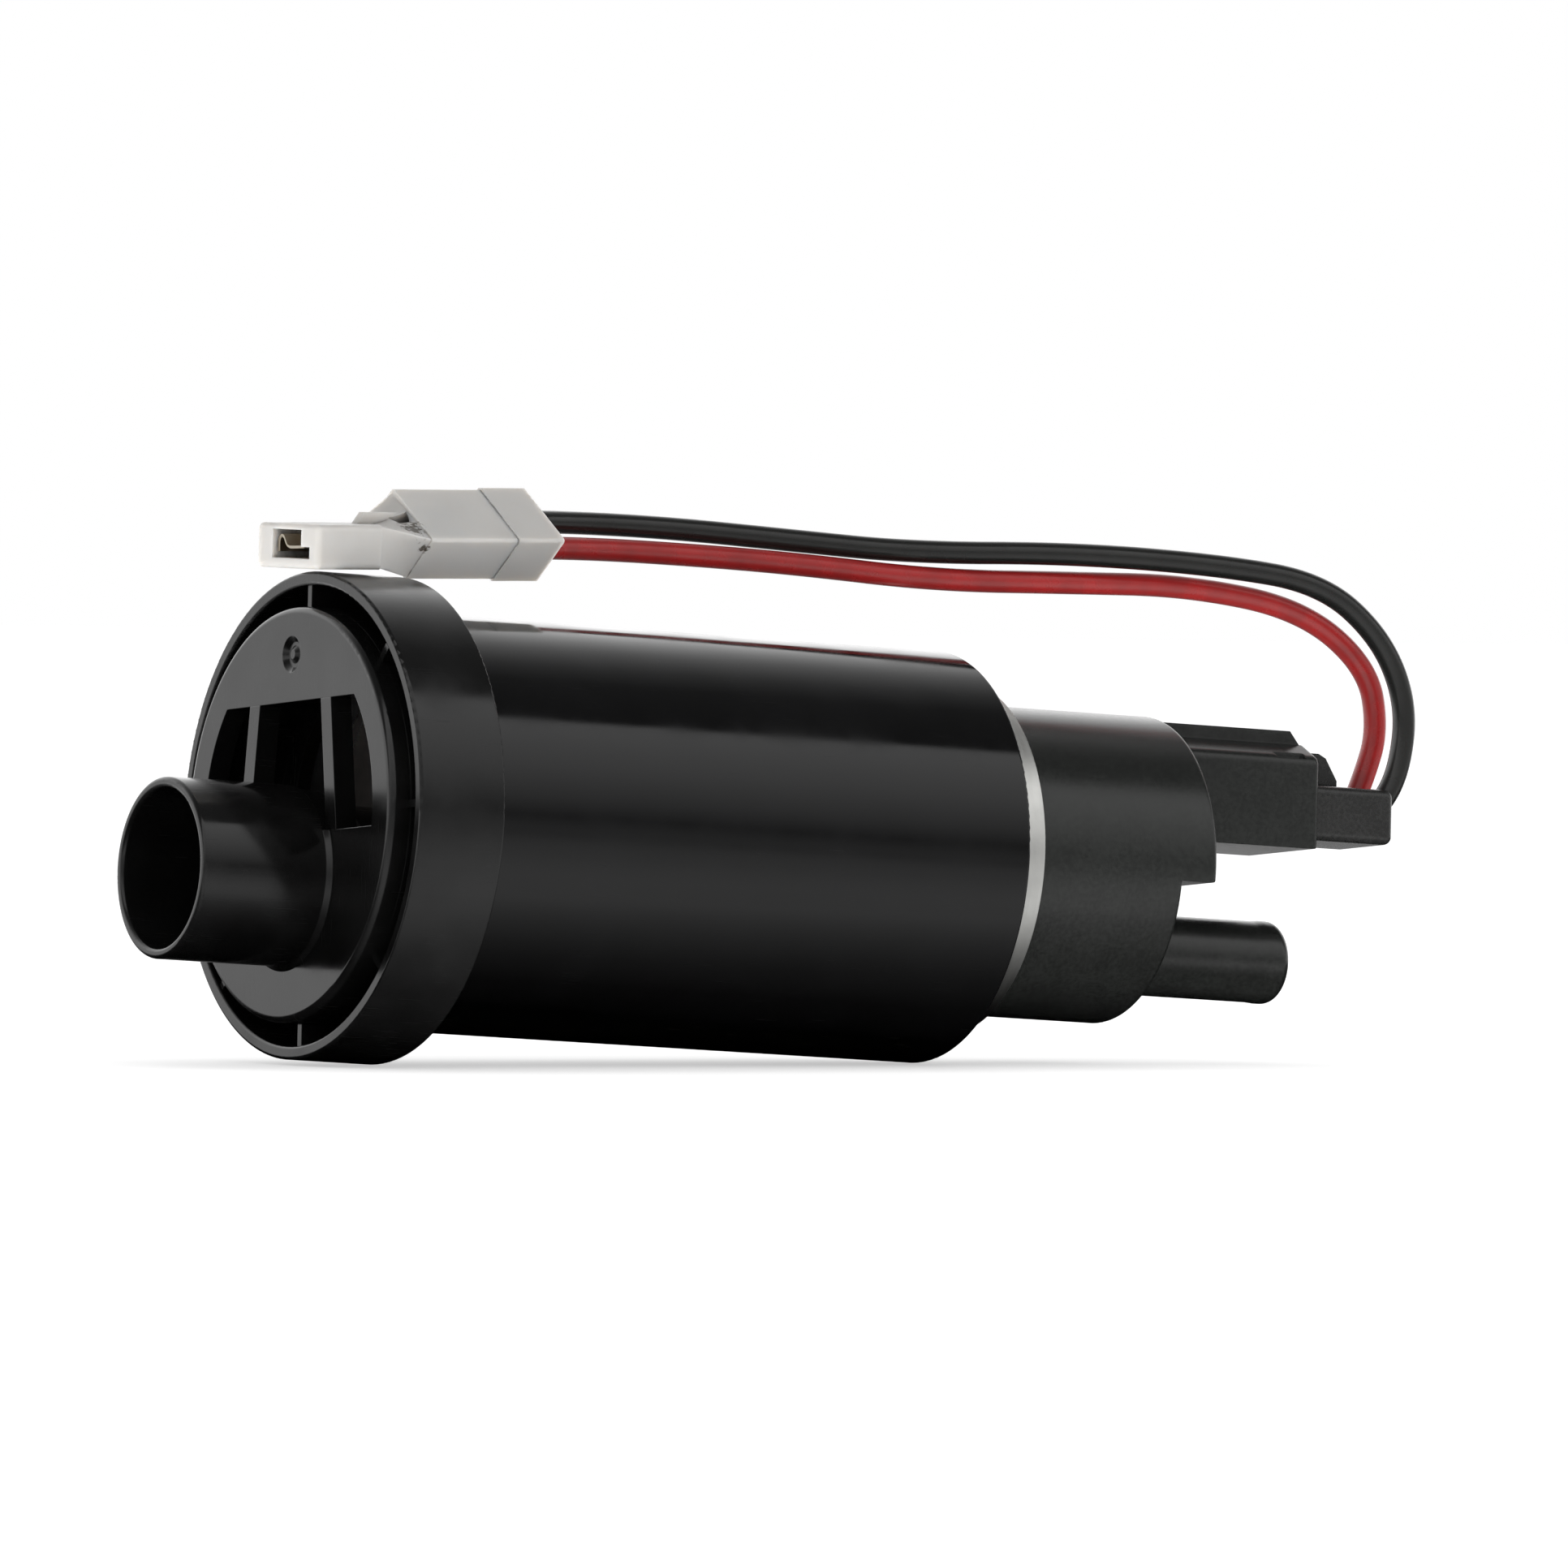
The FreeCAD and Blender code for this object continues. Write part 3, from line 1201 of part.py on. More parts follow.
def long_edge(edge):
    room = edge.BoundBox
    return room.XLength > 1 and room.YLength < TOUCH and room.ZLength < TOUCH


def connector_channel():
    """The flat mouth's channel, which ends on a slant, nearer the mouth at its near side."""
    half_wide, half_tall = s.channel_wide / 2, s.channel_tall / 2
    channel = box("channel_box", (0, s.web_far + OVER), across(half_wide), across(half_tall))
    channel = rounded("channel_edges", channel, s.channel_edge,
                      lambda e: long_edge(e) or e.BoundBox.XMax < TOUCH, least=8)
    slant = math.atan2((s.web_far - s.web_near).value, s.channel_wide.value)
    gone = doc.addObject("Part::Box", "channel_end")
    bind(gone, "Length", s.web_far)
    bind(gone, "Width", s.channel_wide * 2)
    bind(gone, "Height", s.channel_tall * 2)
    before = s.channel_wide / 2
    set_place(gone, s.web_near - before * math.sin(slant), -half_wide - before * math.cos(slant),
              -s.channel_tall, Rotation(Vector(0, 0, 1), -math.degrees(slant)))
    return cut("channel_slanted", channel, gone)


def turned_corners(wide, tall, roll, up, stations):
    """The corners of a turned rectangle across the connector, the near side's two first."""
    turn = math.radians(roll.value)
    half_wide, half_tall = wide.value / 2, tall.value / 2
    corners = []
    for (y, z), x in zip(((-1, 1), (-1, -1), (1, -1), (1, 1)), stations):
        y, z = y * half_wide, z * half_tall
        corners.append(Vector(x.value, y * math.cos(turn) - z * math.sin(turn),
                              y * math.sin(turn) + z * math.cos(turn) + as_size(up).value))
    return Part.makePolygon(corners + corners[:1])


def connector_web():
    """The twisted web that runs from the channel's slanted end into the block."""
    inside = s.block_start + s.web_inset
    first = turned_corners(s.channel_wide - s.web_inset, s.channel_tall - s.web_inset, s.channel_roll, 0,
                           (s.web_near, s.web_near, s.web_far, s.web_far))
    last = turned_corners(s.block_wide - s.block_edge, s.block_tall - s.block_edge, s.block_roll, s.block_up,
                          (inside, inside, inside, inside))
    web = doc.addObject("Part::Feature", "connector_web")
    web.Shape = Part.makeLoft([first, last], True, True)
    return laid("web_laid", web)


def white_connector():
    """The connector that lies on the flange: a flat mouth, a turned block and a rear cap."""
    half_tall = s.channel_tall / 2
    tab_start = s.block_start - s.tab_length
    tab_low, tab_high = half_tall - s.tab_thick, half_tall + s.tab_tall
    tab = padded("channel_tab", "XZ_Plane", [
        (tab_start, tab_low), (tab_start, half_tall), (tab_start + s.tab_slope, tab_high),
        (s.block_start + OVER, tab_high), (s.block_start + OVER, tab_low)], -s.tab_thick / 2, s.tab_thick / 2)
    mouth_low = box("mouth_low", (-1, s.mouth_deep), (-s.mouth_near, s.mouth_far),
                    (-s.mouth_low, -s.mouth_middle))
    mouth_high = box("mouth_high", (-1, s.mouth_deep), (-s.mouth_step, s.mouth_far),
                     (-s.mouth_middle - s.joint_gap, s.mouth_high))
    channel = laid("channel_laid", fuse("channel_solid", connector_channel(), tab), s.channel_roll)
    mouth = laid("mouth_laid", fuse("mouth", mouth_low, mouth_high), s.channel_roll)

    cap_start = s.block_start + s.block_length
    cap_end = cap_start + s.rear_cap_length
    block_half, block_tall = s.block_wide / 2, s.block_tall / 2
    block = box("block_box", (s.block_start, cap_start), across(block_half), across(block_tall))
    block = rounded("block_edges", block, s.block_edge, long_edge, least=4)
    rim = s.rear_cap_rim
    cap = box("rear_cap_box", (cap_start, cap_end), across(block_half + rim), across(block_tall + rim))
    cap = rounded("rear_cap_edges", cap, s.block_edge, long_edge, least=4)
    cells = []
    holes = []
    for side in (-1, 1):
        middle = side * s.lead_pitch / 2
        cells.append(box("cell", (s.lead_end - s.cell_contact_length - OVER, s.lead_end),
                         across_at(middle, s.cell_half), across(s.cell_half)))
        holes.append(cylinder("lead_hole", s.wire_r + s.joint_gap, s.lead_end - OVER, cap_end + OVER,
                              y=middle))
    vents = []
    for middle in (0, -s.vent_near):
        vents.append(box("vent", (s.block_start - s.vent_reach, s.lead_end - s.cell_contact_length),
                         across_at(middle, s.vent_wide / 2), (s.vent_low, s.vent_high)))
    solid = fuse("connector_solid", channel, connector_web(),
                 laid("block_laid", block, s.block_roll, s.block_up))
    room = laid("block_room_laid", fuse("block_room", *cells, *vents), s.block_roll, s.block_up)
    node("connector_housing", cut("connector_cut", solid, room, mouth))
    node("connector_rear_cap", laid("rear_cap_laid", cut("rear_cap_cut", cap, *cells, *holes),
                                    s.block_roll, s.block_up))

    strip = padded("mouth_strip", "YZ_Plane", MOUTH_STRIP, s.strip_setback, s.strip_setback + s.strip_length)
    node("connector_mouth_contact", laid("mouth_strip_laid", strip, s.channel_roll))
    for label, side in (("black", 1), ("red", -1)):
        middle = side * s.lead_pitch / 2
        outer = s.cell_contact_wide / 2
        start = s.lead_end - s.cell_contact_length
        tube = box("cell_contact_box", (start, s.lead_end), across_at(middle, outer), across(outer))
        hollow = box("cell_contact_room", (start - OVER, s.lead_end - s.cell_contact_wide),
                     across_at(middle, outer - s.cell_contact_wall), across(outer - s.cell_contact_wall))
        contact = cut("cell_contact_" + label, tube, hollow)
        node("connector_contact_" + label, laid("cell_contact_laid_" + label, contact,
                                                s.block_roll, s.block_up))


def check_and_write():
    doc.recompute()
    bad = [obj.Name for obj in doc.Objects if "Invalid" in obj.State or "Error" in obj.State]
    if bad:
        raise RuntimeError("failed objects: " + ", ".join(bad))
    for label, obj in nodes:
        if obj.Shape.isNull() or not obj.Shape.isValid() or not obj.Shape.Solids:
            raise RuntimeError("bad shape: " + label)
    os.makedirs("parts", exist_ok=True)
    for label, obj in nodes:
        obj.Shape.exportStep("parts/" + label + ".step")
        print(label, len(obj.Shape.Solids), round(obj.Shape.Volume, 2))


inlet_cover()
cover_skirt()
inlet_tube()
flange_ring()
outer_sleeve()
motor_casing()
pump_stage()
gerotor_rotors()
armature()
stator()
brush_gear()
cap_form = cap_outside()
outlet_cover(cap_form)
outlet_spigot()
connector_socket(cap_form)
terminals()
valves()
seals()
plug()
lead("black_lead", BLACK_ROUTE)
lead("red_lead", RED_ROUTE)
white_connector()
check_and_write()
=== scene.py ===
import json
import math

import bpy
from mathutils import Matrix, Vector


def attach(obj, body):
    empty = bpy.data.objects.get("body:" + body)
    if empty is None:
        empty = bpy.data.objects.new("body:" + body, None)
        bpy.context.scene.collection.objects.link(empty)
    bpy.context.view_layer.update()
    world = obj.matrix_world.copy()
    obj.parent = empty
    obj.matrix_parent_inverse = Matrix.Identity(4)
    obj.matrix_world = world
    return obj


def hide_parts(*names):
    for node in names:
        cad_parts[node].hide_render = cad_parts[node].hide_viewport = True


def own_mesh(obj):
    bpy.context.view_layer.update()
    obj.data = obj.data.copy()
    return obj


# Looks of an in-tank electric fuel pump with its two-wire lead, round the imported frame, in metres.
# X runs along the pump from its inlet to its outlet, Z is up and Y is across.

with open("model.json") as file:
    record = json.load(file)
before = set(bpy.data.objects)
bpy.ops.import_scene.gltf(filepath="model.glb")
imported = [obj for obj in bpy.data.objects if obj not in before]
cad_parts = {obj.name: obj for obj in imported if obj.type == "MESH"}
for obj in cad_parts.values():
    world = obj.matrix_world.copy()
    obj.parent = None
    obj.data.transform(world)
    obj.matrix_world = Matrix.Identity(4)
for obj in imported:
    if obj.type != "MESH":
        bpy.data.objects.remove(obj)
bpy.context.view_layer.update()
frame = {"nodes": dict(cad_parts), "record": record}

MM = 0.001

# Camera: its right, up and view directions, and how far it stands from the frame's origin along each.
CAMERA_RIGHT = Vector((0.8627, -0.5052, 0.0220))
CAMERA_UP = Vector((-0.0590, -0.0573, 0.9966))
CAMERA_VIEW = Vector((0.5023, 0.8611, 0.0792))
CAMERA_PLACE = (49.60 * MM, 3.158 * MM, -2350.6 * MM)
CAMERA_LENS = 526.3
CAMERA_SENSOR = 36.0

# The floor touches the flange's rear rim and the sleeve's far rim.
FLOOR_NORMAL = Vector((-0.0556, -0.0753, 0.9956)).normalized()
FLOOR_DROP = 25.66 * MM
FLOOR_SIZE = 12.0
FLOOR_COLOUR = 0.86

# Light that the floor gives off beside what it reflects: to the camera, and to matt surfaces over it.
FLOOR_GLOW = 0.5
FLOOR_BOUNCE = 2.5

# Painted brightness of the floor as glossy surfaces show it, by the distance behind the pump in millimetres:
# painted light in front, and a painted shadow of the pump under and behind it.
FLOOR_PAINTED_LIGHT_REACH = 400
FLOOR_PAINTED_LIGHT_AND_SHADOW = [
    (-400, 0.36), (-286, 0.4), (-100, 0.6), (-59, 0.72), (-40, 0.68), (-28, 0.34),
    (-20, 0.13), (-13, 0.03), (-7, 0.0), (0, 0.0), (25, 0.0), (45, 0.08),
    (65, 0.2), (100, 0.5), (140, 0.9), (280, 1.4), (400, 1.4)]

# The leads' routes, in millimetres, from the plug's contacts to the white connector.
WIRE_DIAMETER = 2.4 * MM
BLACK_ROUTE = [
    (121.4, -2.5, 7.0), (124.6, -2.5, 7.0), (128.2, -2.5, 7.8), (130.8, -2.6, 12.2),
    (131.4, -2.8, 19.4), (128.0, -2.8, 26.2), (120.6, -2.8, 31.4), (108.6, -1.8, 32.6),
    (92.4, 1.0, 33.0), (75.0, 5.0, 32.2), (61.8, 9.0, 33.0), (49.0, 11.6, 33.6),
    (35.76, 11.49, 33.35), (27.7, 8.87, 32.68)]
RED_ROUTE = [
    (121.4, 2.5, 7.0), (124.4, 2.5, 7.0), (127.6, 2.5, 7.5), (129.5, 2.5, 11.6),
    (131.1, 2.4, 16.8), (129.7, 2.4, 23.4), (121.4, 2.4, 29.0), (107.2, 2.2, 30.6),
    (93.0, 2.2, 30.0), (77.4, 4.2, 29.4), (62.2, 7.4, 30.4), (49.4, 9.3, 30.7),
    (36.84, 8.91, 30.49), (28.78, 6.29, 29.82)]

# Soft lamps that glossy surfaces don't show: where each stands, its side in metres and its power in watts.
LAMPS = {"front_lamp": ((-0.6, -1.2, 0.9), 1.2, 2.0), "top_lamp": ((0.3, 0.3, 1.3), 1.0, 2.5)}
LAMP_AIM = Vector((0.05, 0, 0))

# How bright the studio is all round as light on matt surfaces, apart from the lamps and the floor.
SOFT_LIGHT = 0.6

# Brightness of the studio as glossy surfaces show it, by the angle about X from the camera's side:
# the softbox in front from 4 to 58 degrees, the dark ceiling over it, the white wall behind.
STUDIO = [
    (-180, 1.15), (-120, 0.9), (-60, 0.6), (-5, 0.42), (4, 0.2), (14, 0.5),
    (32, 0.88), (52, 1.15), (58, 1.15), (60, 0.1), (87, 0.12), (100, 0.28),
    (117, 0.65), (135, 1.3), (150, 1.9), (163, 1.7), (172, 1.15), (180, 1.15)]

# Colour of the dirt specks and painted shade on the white connector, and the dark patches of dirt and painted
# shade at its vents: their places and how far each reaches, in millimetres.
DIRT_AND_SHADE_COLOUR = (0.06, 0.048, 0.034, 1)
VENT_DIRT_AND_SHADE = [((11.8, -1.2, 30.2), 1.9), ((13.0, -1.3, 28.3), 1.0)]

# Places of the two colours and the result on a colour Mix node.
MIX_FIRST, MIX_SECOND, MIX_RESULT = 6, 7, 2

# Rings of wire to a metre on the armature, as the wave texture counts them.
WIRE_RINGS = 620


class Shader:
    """A node material whose textures lie in the object's own space, in metres."""

    def __init__(self, name, colour, roughness, metallic=0.0, **sockets):
        self.material = bpy.data.materials.new(name)
        self.material.use_nodes = True
        self.tree = self.material.node_tree
        self.bsdf = self.tree.nodes["Principled BSDF"]
        self.place = self.add("ShaderNodeTexCoord").outputs["Object"]
        self.bsdf.inputs["Base Color"].default_value = (*colour, 1)
        self.bsdf.inputs["Roughness"].default_value = roughness
        self.bsdf.inputs["Metallic"].default_value = metallic
        for socket, value in sockets.items():
            self.bsdf.inputs[socket.replace("_", " ")].default_value = value

    def add(self, kind, **settings):
        node = self.tree.nodes.new(kind)
        for key, value in settings.items():
            setattr(node, key, value)
        return node

    def link(self, output, node, socket):
        self.tree.links.new(output, node.inputs[socket])

    def noise(self, size, detail, turn=(0, 0, 0)):
        """Noise whose grains have the given size along each axis, or one size along all."""
        sizes = size if isinstance(size, tuple) else (size, size, size)
        mapping = self.add("ShaderNodeMapping")
        mapping.inputs["Rotation"].default_value = [math.radians(a) for a in turn]
        mapping.inputs["Scale"].default_value = [1 / s for s in sizes]
        self.link(self.place, mapping, "Vector")
        noise = self.add("ShaderNodeTexNoise")
        noise.inputs["Scale"].default_value = 1.0
        noise.inputs["Detail"].default_value = detail
        self.link(mapping.outputs[0], noise, "Vector")
        return noise.outputs[0]

    def ranged(self, value, low, high, start=0.35, end=0.65):
        """A value carried from start..end over to low..high."""
        node = self.add("ShaderNodeMapRange")
        for socket, number in (("From Min", start), ("From Max", end), ("To Min", low), ("To Max", high)):
            node.inputs[socket].default_value = number
        self.link(value, node, "Value")
        return node.outputs[0]

    def near(self, place, reach):
        """A value that falls from 1 at a place to 0 at its reach, both in millimetres."""
        span = self.add("ShaderNodeVectorMath", operation="DISTANCE")
        span.inputs[1].default_value = [c * MM for c in place]
        self.link(self.place, span, 0)
        return self.ranged(span.outputs["Value"], 1, 0, 0, reach * MM)

    def math(self, operation, a, b):
        node = self.add("ShaderNodeMath", operation=operation)
        for socket, value in enumerate((a, b)):
            if isinstance(value, (int, float)):
                node.inputs[socket].default_value = value
            else:
                self.link(value, node, socket)
        return node.outputs[0]

    def coloured(self, value, first, second):
        """The base colour runs from first to second with a value from 0 to 1."""
        node = self.add("ShaderNodeMix", data_type="RGBA")
        node.inputs[MIX_FIRST].default_value = (*first, 1)
        node.inputs[MIX_SECOND].default_value = (*second, 1)
        self.link(value, node, 0)
        self.link(node.outputs[MIX_RESULT], self.bsdf, "Base Color")

    def roughened(self, value, low, high):
        self.link(self.ranged(value, low, high), self.bsdf, "Roughness")

    def bumped(self, heights, edge=0.0):
        """Bumps laid over each other, each a value and its height, on edges rounded by a radius."""
        normal = None
        if edge:
            bevel = self.add("ShaderNodeBevel", samples=4)
            bevel.inputs["Radius"].default_value = edge
            normal = bevel.outputs[0]
        for value, height in heights:
            bump = self.add("ShaderNodeBump")
            bump.inputs["Strength"].default_value = 1.0
            bump.inputs["Distance"].default_value = height
            self.link(value, bump, "Height")
            if normal:
                self.link(normal, bump, "Normal")
            normal = bump.outputs[0]
        self.link(normal, self.bsdf, "Normal")
        return self


def gloss_plastic(name, colour, polish, edge):
    """Moulded glossy plastic with faint flow waves, smudges and hairline scratches."""
    shader = Shader(name, colour, polish, Specular_IOR_Level=0.5)
    smudge = shader.noise(7 * MM, 5)
    scratch = shader.noise((6 * MM, 0.05 * MM, 5 * MM), 2, (12, 25, 8))
    line = shader.ranged(scratch, 0.0, 1.0, 0.70, 0.74)
    worn = shader.math("ADD", shader.ranged(smudge, polish * 0.8, polish * 1.7),
                       shader.math("MULTIPLY", line, 0.15))
    shader.link(worn, shader.bsdf, "Roughness")
    shader.coloured(shader.ranged(smudge, 0, 1), colour, tuple(c * 1.5 for c in colour))
    wave, grain = shader.noise(9 * MM, 1), shader.noise(0.25 * MM, 2)
    return shader.bumped([(wave, 0.03 * MM), (grain, 0.0008 * MM)], edge)


def spark_plastic(name, colour, rough, grain, height=0.012 * MM, edge=0.15 * MM):
    """Moulded plastic with the fine spark-eroded grain of its tool."""
    shader = Shader(name, colour, rough)
    fine = shader.noise(grain, 3)
    speckle = shader.noise(grain * 2.5, 4)
    cloud = shader.noise(4 * MM, 4)
    mottle = shader.math("ADD", shader.math("MULTIPLY", speckle, 0.7),
                         shader.math("MULTIPLY", cloud, 0.3))
    low, high = (tuple(level * share for level in colour) for share in (0.85, 1.3))
    shader.coloured(shader.ranged(mottle, 0, 1, 0.4, 0.62), low, high)
    shader.roughened(mottle, rough * 0.93, rough * 1.08)
    return shader.bumped([(fine, height), (speckle, height * 0.6)], edge)


def ringed_metal(name, colour, rough, groove=0.05 * MM, height=0.002 * MM, edge=0.08 * MM):
    """Metal turned or drawn about the pump's axis, with faint rings and stains."""
    shader = Shader(name, colour, rough, 1.0)
    ring = shader.noise((groove, 9 * MM, 9 * MM), 3)
    stain = shader.noise(5 * MM, 5)
    shader.coloured(shader.ranged(stain, 0, 1), colour, tuple(c * 0.82 for c in colour))
    shader.roughened(ring, rough * 0.8, rough * 1.25)
    return shader.bumped([(ring, height)], edge)


def grained_metal(name, colour, rough, grain=0.12 * MM, height=0.006 * MM, edge=0.08 * MM):
    """Sintered, pressed or plated metal, with an even grain."""
    shader = Shader(name, colour, rough, 1.0)
    fine = shader.noise(grain, 3)
    stain = shader.noise(3 * MM, 4)
    shader.coloured(shader.ranged(stain, 0, 1), colour, tuple(c * 0.78 for c in colour))
    shader.roughened(stain, rough * 0.8, rough * 1.2)
    return shader.bumped([(fine, height)], edge)


def wound_wire(name, colour):
    """Enamelled wire laid side by side round the armature, with painted shade in the grooves between the
    turns.
    """
    shader = Shader(name, colour, 0.3, 1.0, Coat_Weight=0.6)
    wave = shader.add("ShaderNodeTexWave", wave_type="RINGS", rings_direction="X")
    wave.inputs["Scale"].default_value = WIRE_RINGS
    wave.inputs["Distortion"].default_value = 1.5
    shader.link(shader.place, wave, "Vector")
    # The colour darkens in the grooves between the turns: painted shade.
    shader.coloured(wave.outputs[1], tuple(c * 0.35 for c in colour), colour)
    return shader.bumped([(wave.outputs[1], 0.12 * MM)])


def insulation(name, colour, rough):
    """Soft PVC wire insulation, slightly uneven, with a faint grain along the wire."""
    shader = Shader(name, colour, rough, Subsurface_Weight=0.05)
    shader.bsdf.inputs["Subsurface Radius"].default_value = (0.6 * MM, 0.2 * MM, 0.2 * MM)
    cloud = shader.noise(3 * MM, 4)
    shader.coloured(shader.ranged(cloud, 0, 1), colour, tuple(c * 0.8 for c in colour))
    shader.roughened(cloud, rough * 0.9, rough * 1.2)
    return shader.bumped([(shader.noise((1.5 * MM, 0.3 * MM, 0.3 * MM), 3), 0.01 * MM)])


def natural_nylon(name, colour):
    """Milky nylon that lets light a little way in, with fine dirt specks, painted shade in its corners and
    crevices, and dark patches of dirt and painted shade at its vents.
    """
    shader = Shader(name, colour, 0.42, Subsurface_Weight=1.0, Subsurface_Scale=1.0)
    shader.bsdf.inputs["Subsurface Radius"].default_value = (2.2 * MM, 2 * MM, 1.8 * MM)
    cloud = shader.noise(3.5 * MM, 5)
    speck = shader.ranged(shader.noise(0.5 * MM, 3), 0, 1, 0.74, 0.79)
    shader.coloured(cloud, tuple(c * 0.94 for c in colour), tuple(min(1, c * 1.06) for c in colour))
    base = shader.bsdf.inputs["Base Color"].links[0].from_socket
    dirt_and_shade = shader.add("ShaderNodeMix", data_type="RGBA")
    dirt_and_shade.inputs[MIX_SECOND].default_value = DIRT_AND_SHADE_COLOUR
    shader.link(base, dirt_and_shade, MIX_FIRST)
    # Painted shade: the colour goes dark in corners, crevices and recesses that the occlusion finds within
    # reach.
    crevice = shader.add("ShaderNodeAmbientOcclusion", samples=8)
    crevice.inputs["Distance"].default_value = 0.7 * MM
    painted_crevice_shade = shader.math("MULTIPLY", shader.ranged(crevice.outputs["AO"], 1, 0, 0.35, 0.75),
                        shader.ranged(shader.noise(0.9 * MM, 4), 0, 1, 0.42, 0.6))
    dirt_and_shade_amount = shader.math("MAXIMUM", shader.math("MULTIPLY", speck, 0.08),
                            shader.math("MULTIPLY", painted_crevice_shade, 0.7))
    feather = shader.ranged(shader.noise((0.5 * MM, 0.5 * MM, 0.25 * MM), 5), -0.6, 0.6, 0.3, 0.7)
    # Dark patches at the vents, partly dirt and partly painted shade of a vent opening.
    for place, reach in VENT_DIRT_AND_SHADE:
        close = shader.near(place, reach)
        spread = shader.ranged(shader.math("ADD", close, feather), 0, 0.95, 0.3, 0.65)
        stain = shader.math("MULTIPLY", spread, shader.ranged(close, 0, 1, 0, 0.25))
        dirt_and_shade_amount = shader.math("MAXIMUM", dirt_and_shade_amount, stain)
    shader.link(dirt_and_shade_amount, dirt_and_shade, 0)
    shader.link(dirt_and_shade.outputs[MIX_RESULT], shader.bsdf, "Base Color")
    shader.roughened(cloud, 0.34, 0.5)
    return shader.bumped([(cloud, 0.02 * MM), (shader.noise(0.3 * MM, 2), 0.003 * MM)], 0.2 * MM)


def soft_rubber(name, colour, rough=0.6):
    """Matt moulded rubber with a fine grain."""
    shader = Shader(name, colour, rough)
    cloud = shader.noise(2 * MM, 4)
    shader.coloured(shader.ranged(cloud, 0, 1), colour, tuple(c * 1.5 for c in colour))
    shader.roughened(cloud, rough * 0.85, rough * 1.15)
    return shader.bumped([(shader.noise(0.2 * MM, 2), 0.008 * MM)], 0.1 * MM)


FINISHES = {
    "black_acetal": lambda n: gloss_plastic(n, (0.004, 0.004, 0.004), 0.15, 0.12 * MM),
    "black_acetal_sleeve": lambda n: gloss_plastic(n, (0.0012, 0.0012, 0.0014), 0.10, 0.12 * MM),
    "aluminium_casing": lambda n: ringed_metal(n, (0.86, 0.86, 0.83), 0.38),
    "dark_phenolic": lambda n: spark_plastic(n, (0.035, 0.03, 0.028), 0.5, 0.3 * MM),
    "hard_steel": lambda n: ringed_metal(n, (0.62, 0.62, 0.62), 0.18, 0.03 * MM, 0.0006 * MM),
    "sintered_steel": lambda n: grained_metal(n, (0.42, 0.42, 0.42), 0.42),
    "bearing_bronze": lambda n: grained_metal(n, (0.6, 0.45, 0.24), 0.35, 0.1 * MM),
    "natural_plastic": lambda n: spark_plastic(n, (0.55, 0.53, 0.48), 0.45, 0.25 * MM),
    "lamination_steel": lambda n: ringed_metal(n, (0.36, 0.36, 0.37), 0.4, 0.5 * MM, 0.03 * MM),
    "winding_copper": lambda n: wound_wire(n, (0.62, 0.26, 0.12)),
    "segment_copper": lambda n: ringed_metal(n, (0.75, 0.4, 0.25), 0.25),
    "ferrite": lambda n: grained_metal(n, (0.1, 0.1, 0.105), 0.55, 0.2 * MM),
    "brush_carbon": lambda n: spark_plastic(n, (0.05, 0.05, 0.052), 0.55, 0.15 * MM),
    "spring_steel": lambda n: grained_metal(n, (0.5, 0.5, 0.5), 0.25),
    "black_cover": lambda n: spark_plastic(
        n, (0.010, 0.011, 0.010), 0.25, 0.16 * MM, 0.005 * MM, 0.35 * MM),
    "tinned_brass": lambda n: grained_metal(n, (0.5, 0.46, 0.38), 0.35),
    "seal_rubber": lambda n: soft_rubber(n, (0.03, 0.03, 0.03)),
    "plug_black": lambda n: spark_plastic(
        n, (0.014, 0.014, 0.0135), 0.27, 0.16 * MM, 0.005 * MM, 0.3 * MM),
    "lead_black": lambda n: insulation(n, (0.013, 0.013, 0.012), 0.24),
    "lead_red": lambda n: insulation(n, (0.29, 0.014, 0.014), 0.28),
    "connector_white": lambda n: natural_nylon(n, (0.45, 0.44, 0.425)),
}

materials = {slot: make(slot).material for slot, make in FINISHES.items()}


def dress(obj, slot):
    obj.data.materials.clear()
    obj.data.materials.append(materials[slot])


for row in frame["record"]["subparts"]:
    dress(frame["nodes"][row["node"]], row["material_slot"])


def lead(name, node, slot, route):
    """A wire as one smooth curve along its route, in place of its plain tube."""
    curve = bpy.data.curves.new(name, "CURVE")
    curve.dimensions = "3D"
    curve.bevel_depth = WIRE_DIAMETER / 2
    curve.bevel_resolution = 8
    curve.use_fill_caps = True
    spline = curve.splines.new("NURBS")
    spline.points.add(len(route) - 1)
    for point, place in zip(spline.points, route):
        point.co = (*(Vector(place) * MM), 1)
    spline.order_u = 3
    spline.use_endpoint_u = True
    spline.resolution_u = 24
    piece = bpy.data.objects.new(name, curve)
    bpy.context.scene.collection.objects.link(piece)
    dress(piece, slot)
    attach(piece, "harness")
    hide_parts(node)


lead("black_wire", "black_lead", "lead_black", BLACK_ROUTE)
lead("red_wire", "red_lead", "lead_red", RED_ROUTE)

# The coil springs: the joint that presses each one, and how far it presses, in millimetres.
SPRINGS = {
    "brush_spring_negative": ("brush_negative_slide", 1.5),
    "brush_spring_positive": ("brush_positive_slide", 1.5),
    "check_valve_spring": ("check_valve_slide", 2.0),
    "relief_valve_spring": ("relief_valve_slide", 1.0),
}


def spring(node):
    """A spring of its solid's shape, as a piece of its own on the pump in place of the solid."""
    piece = bpy.data.objects.new(node.replace("spring", "coil"), frame["nodes"][node].data.copy())
    bpy.context.scene.collection.objects.link(piece)
    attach(piece, "pump")
    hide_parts(node)
    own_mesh(piece)


for node, (joint, travel) in SPRINGS.items():
    spring(node)


